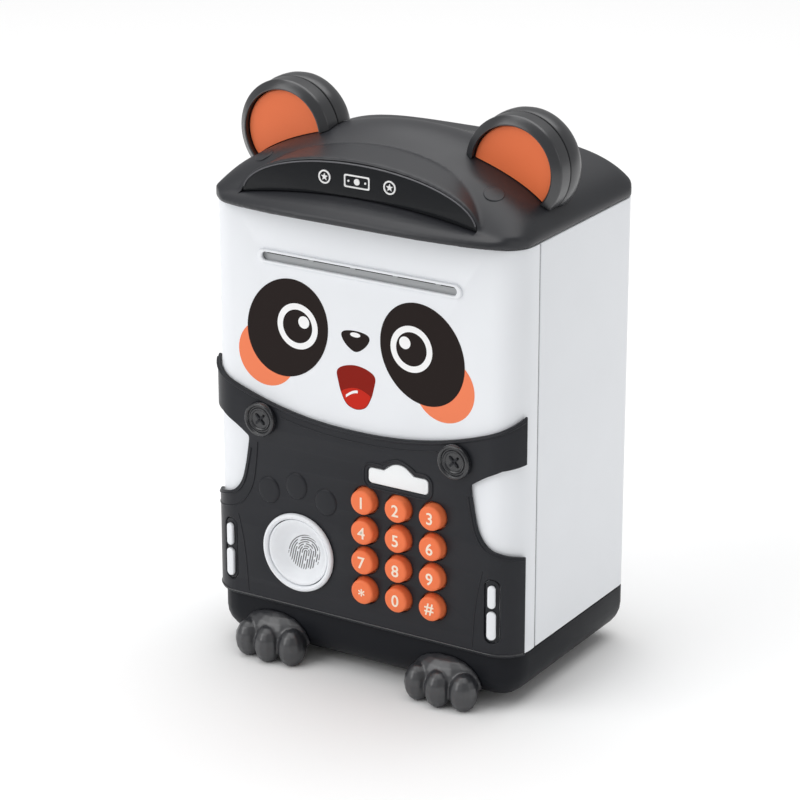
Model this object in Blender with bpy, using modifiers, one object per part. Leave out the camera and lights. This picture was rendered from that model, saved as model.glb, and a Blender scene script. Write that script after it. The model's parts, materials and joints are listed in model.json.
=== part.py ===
"""Toy cash-machine money box in the shape of a panda in dungarees.

A white case stands on a dark tray with paws, under a dark roof with ears.  The
front is a door that carries the keypad, the finger button and the note feed.
Lengths are in millimetres and are turned into metres when a mesh is made.
X is the viewer's right, -Y is the front and Z is up; the origin is the middle
of the bounding box on the ground.
"""

import math

import bmesh
import bpy
from mathutils import Matrix, Vector

MM = 0.001
GAP = 0.3

# Driving dimensions of the case
HALF_WIDTH = 69.8
FRONT_Y = -39.7
BACK_Y = 53.4
SEAM_Y = -22.7
FRONT_RADIUS = 11.8
BACK_RADIUS = 7.0
WALL = 2.2
BASE_BOTTOM = 3.5
BASE_TOP = 22.9
ROOF_BOTTOM = 187.6

# Door
DOOR_REAR_Y = -23.8
DOOR_BOTTOM = BASE_TOP + 0.4
DOOR_TOP = ROOF_BOTTOM - 0.4
DOOR_EDGE_WALL = 4.0
HINGE_X = 64.8
HINGE_Y = -33.4
HINGE = (HINGE_X, HINGE_Y, (DOOR_BOTTOM + DOOR_TOP) / 2)
PIN_RADIUS = 1.5
CORNER_X = HALF_WIDTH - FRONT_RADIUS
CORNER_Y = FRONT_Y + FRONT_RADIUS

# Dungarees moulding on the door
SUIT_BACK = FRONT_Y - GAP
SUIT_FRONT = SUIT_BACK - 1.5
SUIT_REACH = 73.6
SUIT_BOTTOM = DOOR_BOTTOM + 0.2

# Controls
KEY_X, KEY_Z = 19.3, 58.0
KEY_PITCH_X, KEY_PITCH_Z = 15.5, 12.6
KEY_RADIUS = 5.35
KEY_FLANGE = 6.0
KEY_NAMES = (("1", "2", "3"), ("4", "5", "6"), ("7", "8", "9"), ("star", "0", "hash"))
FINGER_X, FINGER_Z = -27.6, 48.2
FINGER_RADIUS = 16.4
SLOT_Z = 168.6
SLOT_HALF = 45.3
BELT_BUTTON_X, BELT_BUTTON_Z = 44.4, 101.6
POCKET_X, POCKET_Z = 60.5, 42.6
POCKET_HALF_LENGTH, POCKET_HALF_WIDTH = 13.4, 3.1

# Roof and ears
ROOF_HALF = 70.3
LIP_ROUND = 12.1
# the peak's tip lies as far ahead of the origin as the back lies behind it
LIP_BOW = BACK_Y + CORNER_Y - 0.2 - LIP_ROUND
ROOF_CROWN = 19.2
ROOF_HUMP = 12.5
SIGN_HALF = 52.4
SIGN_Z = 193.0
SIGN_RISE = 18.6
SIGN_Y = -40.2
COIN_Y = 23.0
EAR_X, EAR_Z = 51.3, 210.3
EAR_RADIUS = 21.3
EAR_INLAY_RADIUS = 16.8

# Note feed and lock
ROLLER_Y, ROLLER_Z = -23.5, 161.2
ROLLER_RADIUS = 6.2
GEAR_TEETH, PINION_TEETH = 20, 10
GEAR_CENTRES = 15.3
LOCK_Z = 106.0
BOLT_Y = -12.2
BOLT_TIP = -57.2
BOLT_LENGTH = 13.2
STRIKE_X = 62.2

COLOURS = {
    "white": ((0.87, 0.88, 0.90), 0.35, 0.0),
    "charcoal": ((0.030, 0.031, 0.036), 0.45, 0.0),
    "gloss_charcoal": ((0.028, 0.030, 0.035), 0.25, 0.0),
    "orange": ((0.87, 0.22, 0.08), 0.4, 0.0),
    "grey": ((0.30, 0.31, 0.33), 0.5, 0.0),
    "rubber": ((0.03, 0.03, 0.03), 0.9, 0.0),
    "steel": ((0.60, 0.61, 0.63), 0.3, 1.0),
    "board": ((0.03, 0.20, 0.07), 0.5, 0.0),
    "milky": ((0.90, 0.92, 0.93), 0.2, 0.0),
    "cell": ((0.16, 0.30, 0.14), 0.4, 0.3),
}


# ---------------------------------------------------------------- scene tools
def clear_scene():
    """Remove what the start-up scene holds."""
    for item in list(bpy.data.objects):
        bpy.data.objects.remove(item, do_unlink=True)


def make_collection(name):
    """Add a collection under the scene."""
    collection = bpy.data.collections.new(name)
    bpy.context.scene.collection.children.link(collection)
    return collection


def make_material(name):
    """Return the named plastic, metal or rubber, made on first use."""
    found = bpy.data.materials.get(name)
    if found:
        return found
    colour, roughness, metallic = COLOURS[name]
    material = bpy.data.materials.new(name)
    material.use_nodes = True
    shader = material.node_tree.nodes["Principled BSDF"]
    shader.inputs["Base Color"].default_value = (*colour, 1.0)
    shader.inputs["Roughness"].default_value = roughness
    shader.inputs["Metallic"].default_value = metallic
    return material


def link_part(name, mesh, colour, parent=None, pivot=None, smooth_angle=35.0):
    """Add a mesh as a part: origin at pivot (mm) and carried by an empty."""
    part = bpy.data.objects.new(name, mesh)
    if pivot is not None:
        place = Vector(pivot) * MM
        mesh.transform(Matrix.Translation(-place))
        part.location = place
    mesh.materials.append(make_material(colour))
    mesh.shade_smooth()
    mesh.set_sharp_from_angle(angle=math.radians(smooth_angle))
    PARTS.objects.link(part)
    if parent is not None:
        part.parent = parent
        part.matrix_parent_inverse = Matrix.Translation(-parent.location)
    return part


def to_mesh(name, bm):
    """Turn a millimetre bmesh into a mesh in metres with outward faces."""
    bmesh.ops.recalc_face_normals(bm, faces=bm.faces[:])
    bmesh.ops.scale(bm, vec=(MM, MM, MM), verts=bm.verts[:])
    mesh = bpy.data.meshes.new(name)
    bm.to_mesh(mesh)
    bm.free()
    return mesh


def solid(name, bm, colour, **options):
    """Turn a millimetre bmesh into a part."""
    return link_part(name, to_mesh(name, bm), colour, **options)


def cutter(name, bm):
    """Turn a millimetre bmesh into a guide that other parts are cut with."""
    tool = bpy.data.objects.new(name, to_mesh(name, bm))
    tool.hide_render = True
    tool.display_type = "WIRE"
    CUTTERS.objects.link(tool)
    return tool


def combine(part, tool, operation="DIFFERENCE"):
    """Add an exact Boolean of a cutter to a part."""
    change = part.modifiers.new(tool.name, "BOOLEAN")
    change.solver = "EXACT"
    change.operation = operation
    change.object = tool


# ------------------------------------------------------------- basic shapes
def box(low, high):
    """Box between two corners."""
    bm = bmesh.new()
    bmesh.ops.create_cube(bm, size=1.0)
    size = [high[i] - low[i] for i in range(3)]
    middle = [(high[i] + low[i]) / 2 for i in range(3)]
    bmesh.ops.scale(bm, vec=size, verts=bm.verts[:])
    bmesh.ops.translate(bm, vec=middle, verts=bm.verts[:])
    return bm


def rod(radius, start, end, segments=20):
    """Round bar from start to end."""
    bm = bmesh.new()
    start, end = Vector(start), Vector(end)
    bmesh.ops.create_cone(
        bm, cap_ends=True, segments=segments,
        radius1=radius, radius2=radius, depth=(end - start).length)
    turn = (end - start).to_track_quat("Z", "Y").to_matrix().to_4x4()
    bmesh.ops.transform(
        bm, matrix=Matrix.Translation((start + end) / 2) @ turn, verts=bm.verts[:])
    return bm


def ball(centre, radii, columns=16, rows=10):
    """Ellipsoid."""
    bm = bmesh.new()
    bmesh.ops.create_uvsphere(bm, u_segments=columns, v_segments=rows, radius=1.0)
    bmesh.ops.scale(bm, vec=radii, verts=bm.verts[:])
    bmesh.ops.translate(bm, vec=centre, verts=bm.verts[:])
    return bm


def turned(name, profile, colour, place, axis_turn, segments=24, **options):
    """Turned part: (radius, height) points run down the outer side."""
    mesh = bpy.data.meshes.new(name)
    points = [(r * MM, 0.0, h * MM) for r, h in profile]
    closed = profile[0][0] > 0.0
    edges = [(i, i + 1) for i in range(len(points) - 1)]
    if closed:
        edges.append((len(points) - 1, 0))
    mesh.from_pydata(points, edges, [])
    part = link_part(name, mesh, colour, **options)
    part.location = Vector(place) * MM
    part.rotation_euler = axis_turn
    screw = part.modifiers.new("turn", "SCREW")
    screw.axis = "Z"
    screw.steps = segments
    screw.render_steps = segments
    screw.use_merge_vertices = True
    screw.merge_threshold = 0.00001
    screw.use_smooth_shade = True
    return part


def outline_solid(loops, low, high, axis="Y"):
    """Flat outline (with holes) given as loops of points, thick from low to high.

    Points are (x, z) for axis Y and (x, y) for axis Z.
    """
    curve = bpy.data.curves.new("outline", "CURVE")
    curve.dimensions = "2D"
    curve.fill_mode = "BOTH"
    curve.extrude = (high - low) / 2
    for loop in loops:
        spline = curve.splines.new("POLY")
        spline.points.add(len(loop) - 1)
        for point, (a, b) in zip(spline.points, loop):
            point.co = (a, b, 0.0, 1.0)
        spline.use_cyclic_u = True
    holder = bpy.data.objects.new("outline", curve)
    CUTTERS.objects.link(holder)
    bpy.context.view_layer.update()
    graph = bpy.context.evaluated_depsgraph_get()
    mesh = bpy.data.meshes.new_from_object(holder.evaluated_get(graph))
    bm = bmesh.new()
    bm.from_mesh(mesh)
    bpy.data.objects.remove(holder)
    bpy.data.curves.remove(curve)
    bpy.data.meshes.remove(mesh)
    bmesh.ops.remove_doubles(bm, verts=bm.verts[:], dist=0.001)
    if axis == "Y":
        bmesh.ops.rotate(bm, matrix=Matrix.Rotation(math.pi / 2, 3, "X"), verts=bm.verts[:])
    shift = Vector((0.0, 1.0, 0.0)) if axis == "Y" else Vector((0.0, 0.0, 1.0))
    bmesh.ops.translate(bm, vec=shift * (low + high) / 2, verts=bm.verts[:])
    return bm


def loft(rings):
    """Closed skin through rings of the same number of points."""
    bm = bmesh.new()
    layers = [[bm.verts.new(point) for point in ring] for ring in rings]
    count = len(rings[0])
    for lower, upper in zip(layers, layers[1:]):
        for i in range(count):
            j = (i + 1) % count
            bm.faces.new((lower[i], lower[j], upper[j], upper[i]))
    bm.faces.new(layers[0])
    bm.faces.new(layers[-1])
    return bm


# ---------------------------------------------------------------- outlines
def arc(cx, cy, radius, start, end, steps):
    """Points on an arc, angles in degrees."""
    angles = [math.radians(start + (end - start) * i / steps) for i in range(steps + 1)]
    return [(cx + radius * math.cos(a), cy + radius * math.sin(a)) for a in angles]


def circle(cx, cy, radius, steps=20, turn=0.0):
    """Closed ring of points, its first point turned by some degrees."""
    return arc(cx, cy, radius, turn, 360 + turn, steps)[:-1]


def stadium(cx, cy, half_length, half_width, steps=8, upright=False):
    """Slot outline with round ends, lying along the first axis or upright."""
    reach = half_length - half_width
    if upright:
        return (arc(cx, cy + reach, half_width, 0, 180, steps)
                + arc(cx, cy - reach, half_width, 180, 360, steps))
    return (arc(cx + reach, cy, half_width, -90, 90, steps)
            + arc(cx - reach, cy, half_width, 90, 270, steps))


def rectangle(x_low, x_high, z_low, z_high):
    """Corner points of a rectangle."""
    return [(x_low, z_low), (x_high, z_low), (x_high, z_high), (x_low, z_high)]


def smooth_run(points, steps=4):
    """Catmull-Rom curve through points."""
    ends = [points[0]] + list(points) + [points[-1]]
    run = []
    for a, b, c, d in zip(ends, ends[1:], ends[2:], ends[3:]):
        for i in range(steps):
            t = i / steps
            run.append(tuple(
                0.5 * (2 * b[k] + (c[k] - a[k]) * t
                       + (2 * a[k] - 5 * b[k] + 4 * c[k] - d[k]) * t * t
                       + (3 * b[k] - a[k] - 3 * c[k] + d[k]) * t ** 3)
                for k in range(2)))
    run.append(points[-1])
    return run


def plan_outline(inset=0.0, steps=6):
    """Plan of the case: large front corners and small rear ones."""
    half = HALF_WIDTH - inset
    front, back = FRONT_Y + inset, BACK_Y - inset
    r_front = max(FRONT_RADIUS - inset, 1.0)
    r_back = max(BACK_RADIUS - inset, 0.8)
    return (arc(half - r_back, back - r_back, r_back, 0, 90, steps)
            + arc(-half + r_back, back - r_back, r_back, 90, 180, steps)
            + arc(-half + r_front, front + r_front, r_front, 180, 270, steps)
            + arc(half - r_front, front + r_front, r_front, 270, 360, steps))


def door_outline(inset, rear, steps=6):
    """Plan of the door: a shallow tray with round front corners."""
    half = HALF_WIDTH - inset
    radius = FRONT_RADIUS - inset
    front = FRONT_Y + inset
    return ([(half, rear), (-half, rear)]
            + arc(-half + radius, front + radius, radius, 180, 270, steps)
            + arc(half - radius, front + radius, radius, 270, 360, steps))


# ---------------------------------------------------------------- roof shape
def roof_height(x, y):
    """Height of the roof's skin above its rim."""
    side = max(0.0, 1.0 - abs(x / 70.6) ** 4.2) ** 0.53
    back = max(0.0, 1.0 - abs(max(y, 0.0) / 54.0) ** 20) ** 0.5
    slope = min(max((-21.6 - y) / 21.6, 0.0), 1.0)
    front = (1.0 - slope ** 2) ** 0.8
    spread = 25.0 if y < -2.0 else 24.0
    along = math.exp(-((y + 2.0) / spread) ** 2)
    across = max(0.0, 1.0 - (x / 75.0) ** 2) ** 2.2
    return ROOF_CROWN * side * back * front + ROOF_HUMP * along * across


def round_corner(x, y, half, front, back, r_front, r_back):
    """Pull a point of a rectangular grid into its rounded corner."""
    radius = r_front if y < (front + back) / 2 else r_back
    middle_x = half - radius
    middle_y = front + radius if y < (front + back) / 2 else back - radius
    outward = -1.0 if y < (front + back) / 2 else 1.0
    p = (abs(x) - middle_x) / radius
    q = (y - middle_y) * outward / radius
    if p <= 0.0 or q <= 0.0:
        return x, y
    side = 1.0 if x > 0 else -1.0
    return (side * (middle_x + radius * p * math.sqrt(1 - q * q / 2)),
            middle_y + outward * radius * q * math.sqrt(1 - p * p / 2))


def dome(inset, front, floor, lift=0.0, columns=18, rows=13):
    """Solid under the roof's skin, moved in by inset and up by lift."""
    half, back = ROOF_HALF - inset, BACK_Y - inset
    bm = bmesh.new()
    bmesh.ops.create_grid(bm, x_segments=columns, y_segments=rows, size=1.0)
    for vert in bm.verts:
        u = math.sin(vert.co.x * math.pi / 2)
        v = math.sin(vert.co.y * math.pi / 2)
        x, y = half * u, (front + back) / 2 + (back - front) / 2 * v
        r_front = 12.2 if front < -30 else 2.0
        r_back = BACK_RADIUS + 0.5 - max(inset, 0.0)
        x, y = round_corner(x, y, half, front, back, r_front, r_back)
        vert.co = (x, y, ROOF_BOTTOM + max(roof_height(x, y) - inset, 0.4) + lift)
    lower = bmesh.ops.extrude_face_region(bm, geom=bm.faces[:])
    for item in lower["geom"]:
        if isinstance(item, bmesh.types.BMVert):
            item.co.z = floor
    return bm


def brim_section(x):
    """Section of the peak at one place across the roof."""
    across = abs(x)
    bow = max(0.0, 1.0 - (across / 66.6) ** 2.4) ** 0.8
    lean = max(across - CORNER_X, 0.0) / 12.3
    lip_y = CORNER_Y - 0.2 - LIP_ROUND * math.sqrt(max(0.0, 1 - lean ** 2)) - LIP_BOW * bow
    lip_z = ROOF_BOTTOM + 2.4 * max(0.0, 1 - (across / 64.0) ** 2)
    top_z = max(198.0 - 4.5 * (across / SIGN_HALF) ** 2, lip_z + 3.4)
    edge_y = max(SIGN_Y, lip_y + 2.0)
    return [
        (x, -28.0, ROOF_BOTTOM + 1.4),
        (x, lip_y + 1.2, lip_z),
        (x, lip_y + 0.2, lip_z + 0.7),
        (x, lip_y, lip_z + 1.6),
        (x, lip_y + 0.5, lip_z + 2.8),
        (x, lip_y + 0.55 * (edge_y - lip_y), lip_z + 2.8 + 0.68 * (top_z - lip_z - 2.8)),
        (x, edge_y, top_z),
        (x, -28.0, top_z - 0.2),
    ]


def brow_ring(half, rise, y_foot, y_top, steps=16):
    """Arch of the sign hood: foot and top may lie at different depths."""
    ring = []
    for i in range(steps + 1):
        angle = math.pi * i / steps
        height = math.sin(angle)
        ring.append((half * math.cos(angle), y_foot + (y_top - y_foot) * height,
                     SIGN_Z + rise * height))
    ring.append((-half * 0.9, y_foot, SIGN_Z - 1.5))
    ring.append((half * 0.9, y_foot, SIGN_Z - 1.5))
    return ring


def sign_outline(shrink=0.0):
    """Outline of the sign: an arch over a bowed foot line."""
    half, rise, foot_z = SIGN_HALF - shrink, SIGN_RISE - 2 * shrink, SIGN_Z + shrink
    top = [(half * math.cos(a), foot_z + rise * math.sin(a))
           for a in [math.pi * i / 18 for i in range(19)]]
    foot = [(half * t, foot_z + 5.0 * (1 - t * t))
            for t in (-0.9, -0.7, -0.45, -0.15, 0.15, 0.45, 0.7, 0.9)]
    return top + foot


# ---------------------------------------------------------------- the case
def build_case():
    """White shell and the frame round its front opening."""
    outer = (arc(HALF_WIDTH - BACK_RADIUS, BACK_Y - BACK_RADIUS, BACK_RADIUS, 0, 90, 6)
             + arc(-HALF_WIDTH + BACK_RADIUS, BACK_Y - BACK_RADIUS, BACK_RADIUS, 90, 180, 6))
    inner_half, inner_back = HALF_WIDTH - WALL, BACK_Y - WALL
    inner_radius = BACK_RADIUS - WALL
    inner = (arc(-inner_half + inner_radius, inner_back - inner_radius, inner_radius, 180, 90, 6)
             + arc(inner_half - inner_radius, inner_back - inner_radius, inner_radius, 90, 0, 6))
    u_shape = ([(HALF_WIDTH, SEAM_Y)] + outer + [(-HALF_WIDTH, SEAM_Y), (-inner_half, SEAM_Y)]
               + inner + [(inner_half, SEAM_Y)])
    solid("body_shell", outline_solid([u_shape], BASE_TOP + GAP, ROOF_BOTTOM - GAP, "Z"), "white")

    frame_half = inner_half - GAP
    opening_half = 60.3
    frame = outline_solid(
        [rectangle(-frame_half, frame_half, BASE_TOP + GAP, ROOF_BOTTOM - GAP),
         rectangle(-opening_half, opening_half, 29.5, 183.8)], SEAM_Y + 1.1, SEAM_Y + 4.1)
    solid("jamb_frame", frame, "white")

    face, wall_side = -STRIKE_X, -inner_half + GAP
    bracket = [(face, -17.0), (face, -4.8), (wall_side + 1.6, -4.8), (wall_side + 1.6, 4.0),
               (wall_side, 4.0), (wall_side, -6.8), (face - 2.0, -6.8), (face - 2.0, -17.0)]
    strike = solid("latch_strike", outline_solid([bracket], LOCK_Z - 9, LOCK_Z + 9, "Z"), "steel")
    bolt_way = rod(3.2, (face - 4.0, BOLT_Y, LOCK_Z), (face + 2.0, BOLT_Y, LOCK_Z), 16)
    combine(strike, cutter("bolt_way", bolt_way))


def base_loft(inset, floor, top, steps=6):
    """Tray with a large radius along its lower edge."""
    radius = FRONT_RADIUS
    rings = []
    for i in range(steps + 1):
        angle = math.pi / 2 * i / steps
        edge = radius * (1 - math.sin(angle)) + inset
        height = floor + radius * (1 - math.cos(angle))
        rings.append([(x, y, height) for x, y in plan_outline(edge, 4)])
    rings.append([(x, y, top) for x, y in plan_outline(inset, 4)])
    return loft(rings)


def build_base():
    """Dark tray, compartment floor, battery space, paws and rear feet."""
    tray = solid("base_shell", base_loft(0.0, BASE_BOTTOM, BASE_TOP), "charcoal")
    combine(tray, cutter("base_hollow", base_loft(WALL + 0.2, BASE_BOTTOM + 2.4, 19.0)))
    combine(tray, cutter("base_mouth", box((-66.4, -17.5, 14.0), (66.4, 50.0, 26.0))))
    combine(tray, cutter("battery_door_hole", box((-27.5, -6.0, 2.0), (36.0, 40.0, 7.0))))
    combine(tray, cutter("base_pin_hole", rod(
        PIN_RADIUS + GAP, (HINGE_X, HINGE_Y, 16.0), (HINGE_X, HINGE_Y, 24.0))))
    solid("base_deck", box((-66.0, -17.1, 20.5), (66.0, 49.6, 22.4)), "grey")

    cover = solid("battery_cover", box((-27.1, -5.6, BASE_BOTTOM), (35.6, 39.6, 5.5)), "charcoal")
    combine(cover, cutter("cover_screw_hole", rod(3.1, (31.0, 17.0, 2.0), (31.0, 17.0, 7.0))))
    turned("battery_cover_screw", [(0.0, 10.0), (1.1, 9.4), (1.1, 1.9), (2.8, 1.7), (2.8, 0.4), (0.0, 0.2)],
           "steel", (31.0, 17.0, BASE_BOTTOM), (0.0, 0.0, 0.0), 14)
    for number in range(3):
        y = 17.0 + 14.9 * (number - 1)
        turned(f"battery_{number + 1}",
               [(0.0, 25.2), (2.6, 25.2), (2.6, 24.2), (7.05, 24.0), (7.05, -24.6), (0.0, -24.8)],
               "cell", (0.0, y, 12.95), (0.0, math.pi / 2, 0.0), 16)

    clear = cutter("paw_seat", base_loft(-GAP, BASE_BOTTOM - GAP, BASE_TOP + 1.0))
    ground = cutter("ground", box((-90, -70, -30), (90, 0, 0.0)))
    for side, name in ((-1, "left"), (1, "right")):
        paw = solid(f"paw_{name}", ball((side * 40.0, -38.0, 10.6), (15.6, 9.4, 9.2), 16, 10),
                    "gloss_charcoal")
        for number, (shift, reach) in enumerate(((-10.2, -44.2), (0.0, -45.9), (10.2, -44.2))):
            toe = ball((side * 40.0 + shift, reach, 7.2), (5.7, 6.5, 8.0), 12, 8)
            combine(paw, cutter(f"toe_{name}_{number}", toe), "UNION")
        combine(paw, clear)
        combine(paw, ground)
        turned(f"rear_foot_{name}", [(0.0, 3.2), (5.6, 3.2), (6.0, 2.7), (6.0, 0.5), (5.6, 0.0), (0.0, 0.0)],
               "rubber", (side * 50.0, 33.0, 0.0), (0.0, 0.0, 0.0), 20)


# ---------------------------------------------------------------- the roof
def roof_place(x, y):
    """Point on the roof's skin and the turn that lays a disc on it."""
    here = Vector((x, y, ROOF_BOTTOM + roof_height(x, y)))
    step = 0.5
    slope_x = (roof_height(x + step, y) - roof_height(x - step, y)) / (2 * step)
    slope_y = (roof_height(x, y + step) - roof_height(x, y - step)) / (2 * step)
    normal = Vector((-slope_x, -slope_y, 1.0)).normalized()
    return here, normal


def build_coin_slot(roof):
    """Coin slot insert laid on the rear slope, with its seat in the roof."""
    here, normal = roof_place(0.0, COIN_Y)
    lie = Matrix.Translation(here) @ normal.to_track_quat("Z", "X").to_matrix().to_4x4()
    across = Matrix.Rotation(math.pi / 2, 4, "Z")
    seat = box((-17.0 - GAP, -4.0 - GAP, -9.0), (17.0 + GAP, 4.0 + GAP, 12.0))
    insert = outline_solid([rectangle(-17.0, 17.0, -4.0, 4.0), stadium(0.0, 0.0, 14.0, 1.7)],
                           -4.0, 0.4, "Z")
    for mesh in (seat, insert):
        bmesh.ops.transform(mesh, matrix=lie @ across, verts=mesh.verts[:])
    combine(roof, cutter("coin_seat", seat))
    solid("coin_slot_insert", insert, "gloss_charcoal")


def build_roof():
    """Roof shell with peak and sign hood, sign, coin slot, plugs and ears."""
    roof = solid("roof_shell", dome(0.0, -40.9, ROOF_BOTTOM), "charcoal", smooth_angle=40)
    stations = [-69.4, -67.5, -64.5, -60.0, -53.0, -44.0, -33.0, -22.0, -11.0]
    stations = stations + [0.0] + [-x for x in reversed(stations)]
    combine(roof, cutter("peak", loft([brim_section(x) for x in stations])), "UNION")
    hood = loft([
        brow_ring(SIGN_HALF + 1.0, SIGN_RISE + 1.0, SIGN_Y, SIGN_Y),
        brow_ring(SIGN_HALF - 1.0, 21.5, SIGN_Y + 3.2, -22.5),
        brow_ring(SIGN_HALF - 12.0, 14.0, -24.0, -8.0)])
    combine(roof, cutter("hood", hood), "UNION")
    combine(roof, cutter("sign_seat", outline_solid([sign_outline(-0.35)], SIGN_Y - 3.0, SIGN_Y + 1.9)))
    combine(roof, cutter("roof_hollow", dome(2.5, -17.5, ROOF_BOTTOM - 2.0, columns=10, rows=7)))
    arch = [(47.0 * math.cos(math.pi * i / 12), 191.4 + 14.5 * math.sin(math.pi * i / 12))
            for i in range(13)]
    combine(roof, cutter("hood_hollow", outline_solid([arch], SIGN_Y + 4.4, -15.0)))
    combine(roof, cutter("roof_pin_hole", rod(
        PIN_RADIUS + GAP, (HINGE_X, HINGE_Y, 184.0), (HINGE_X, HINGE_Y, 191.2))))
    build_coin_slot(roof)
    solid("sign_plate", outline_solid([sign_outline()], SIGN_Y - 0.1, SIGN_Y + 1.6), "gloss_charcoal")

    for side, name in ((-1, "left"), (1, "right")):
        here, normal = roof_place(side * 51.5, -26.5)
        combine(roof, cutter(f"plug_seat_{name}", rod(4.4, here - normal * 1.6, here + normal * 6)))
        solid(f"roof_plug_{name}", rod(4.0, here - normal * 1.2, here + normal * 0.15), "charcoal")


def ear_part(name, side, bm, colour, clear):
    """Place an ear piece on its side and cut its foot to the roof."""
    bmesh.ops.translate(bm, vec=(side * EAR_X, 0.0, EAR_Z), verts=bm.verts[:])
    part = solid(name, bm, colour)
    combine(part, clear)
    return part


def spin_profile(profile, segments=28):
    """Ring turned about the Y axis from closed (radius, y) points."""
    rings = []
    for i in range(segments):
        angle = 2 * math.pi * i / segments
        rings.append([(r * math.cos(angle), y, r * math.sin(angle)) for r, y in profile])
    bm = bmesh.new()
    layers = [[bm.verts.new(p) for p in ring] for ring in rings]
    count = len(profile)
    for k in range(segments):
        here, there = layers[k], layers[(k + 1) % segments]
        for i in range(count):
            j = (i + 1) % count
            bm.faces.new((here[i], here[j], there[j], there[i]))
    return bm


def build_ears():
    """Each ear: front ring, orange inlay and rear cup."""
    clear = cutter("roof_clear", dome(-GAP, -45.0, 170.0, lift=GAP))
    front_ring = [(17.2, -11.2), (17.4, -13.0), (18.6, -14.4), (19.6, -14.2), (20.4, -12.6),
                  (20.8, -9.0), (20.3, -5.2), (15.0, -5.2), (15.0, -9.4), (17.2, -9.6)]
    rear_cup = [(0.4, 8.6), (15.0, 8.3), (19.6, 6.2), (EAR_RADIUS, 2.0), (EAR_RADIUS, -2.6),
                (20.2, -4.8), (17.6, -4.8), (17.8, 2.6), (14.0, 5.9), (0.4, 6.2)]
    for side, name in ((-1, "left"), (1, "right")):
        ear_part(f"ear_front_{name}", side, spin_profile(front_ring), "gloss_charcoal", clear)
        ear_part(f"ear_inlay_{name}", side,
                 rod(EAR_INLAY_RADIUS, (0, -12.2, 0), (0, -10.0, 0), 28), "orange", clear)
        back = ear_part(f"ear_back_{name}", side, spin_profile(rear_cup), "gloss_charcoal", clear)
        combine(back, cutter(f"ear_hub_{name}", rod(
            0.6, (side * EAR_X, 6.0, EAR_Z), (side * EAR_X, 9.0, EAR_Z), 12)), "UNION")


# ---------------------------------------------------------------- the door
def wrap_round_corners(bm):
    """Bend a flat plate (x is the distance along the front) round the corners."""
    cuts = [CORNER_X + 3.0 * i for i in range(6)]
    for sign in (-1, 1):
        for place in cuts:
            bmesh.ops.bisect_plane(
                bm, geom=bm.verts[:] + bm.edges[:] + bm.faces[:],
                plane_co=(sign * place, 0, 0), plane_no=(1, 0, 0), dist=0.0005)
    bmesh.ops.triangulate(bm, faces=bm.faces[:])
    middle = FRONT_RADIUS + 1.0
    for vert in bm.verts:
        beyond = abs(vert.co.x) - CORNER_X
        if beyond <= 0:
            continue
        angle = beyond / middle
        radius = CORNER_Y - vert.co.y
        side = 1.0 if vert.co.x > 0 else -1.0
        vert.co.x = side * (CORNER_X + radius * math.sin(angle))
        vert.co.y = CORNER_Y - radius * math.cos(angle)


def suit_outline():
    """Dungarees: waistband, bib and the lower panel that wraps the corners."""
    band = []
    for i in range(17):
        x = SUIT_REACH * (1 - 2 * i / 16)
        band.append((x, 104.4 + 17.1 * abs(x / SUIT_REACH) ** 2.2))
    side = ([(SUIT_REACH, 102.4)]
            + smooth_run([(64.0, 100.6), (57.5, 97.2), (52.6, 94.0), (51.0, 92.4), (51.3, 89.0)], 2)
            + smooth_run([(52.4, 82.0), (54.6, 73.8), (58.6, 68.6), (65.0, 66.2), (SUIT_REACH, 64.4)], 2)
            + [(SUIT_REACH, SUIT_BOTTOM)])
    mirrored = [(-x, z) for x, z in side]
    return band[::-1] + side + mirrored[::-1]


def cloud_outline(grow=0.0):
    """Window over the keys: a low bar with a round hump."""
    points = [(5.6, 84.9), (31.0, 84.9), (31.6, 85.6), (31.6, 89.6), (30.4, 90.9), (26.2, 90.9),
              (23.6, 92.9), (19.6, 94.3), (15.2, 93.6), (12.6, 91.2), (6.4, 90.9), (5.2, 89.6), (5.2, 85.6)]
    cx, cz = 18.4, 88.6
    scale_x = (13.2 + grow) / 13.2
    scale_z = (4.7 + grow) / 4.7
    return [(cx + (x - cx) * scale_x, cz + (z - cz) * scale_z) for x, z in points]


def key_places():
    """Name and centre of each key."""
    for row, names in enumerate(KEY_NAMES):
        for column, name in enumerate(names):
            yield name, KEY_X + (column - 1) * KEY_PITCH_X, KEY_Z + (1.5 - row) * KEY_PITCH_Z


def pocket_turn(side):
    """Place and turn of a pocket insert on the rounded corner."""
    angle = (POCKET_X - CORNER_X) / (FRONT_RADIUS + 1.0)
    return side * angle


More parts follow.
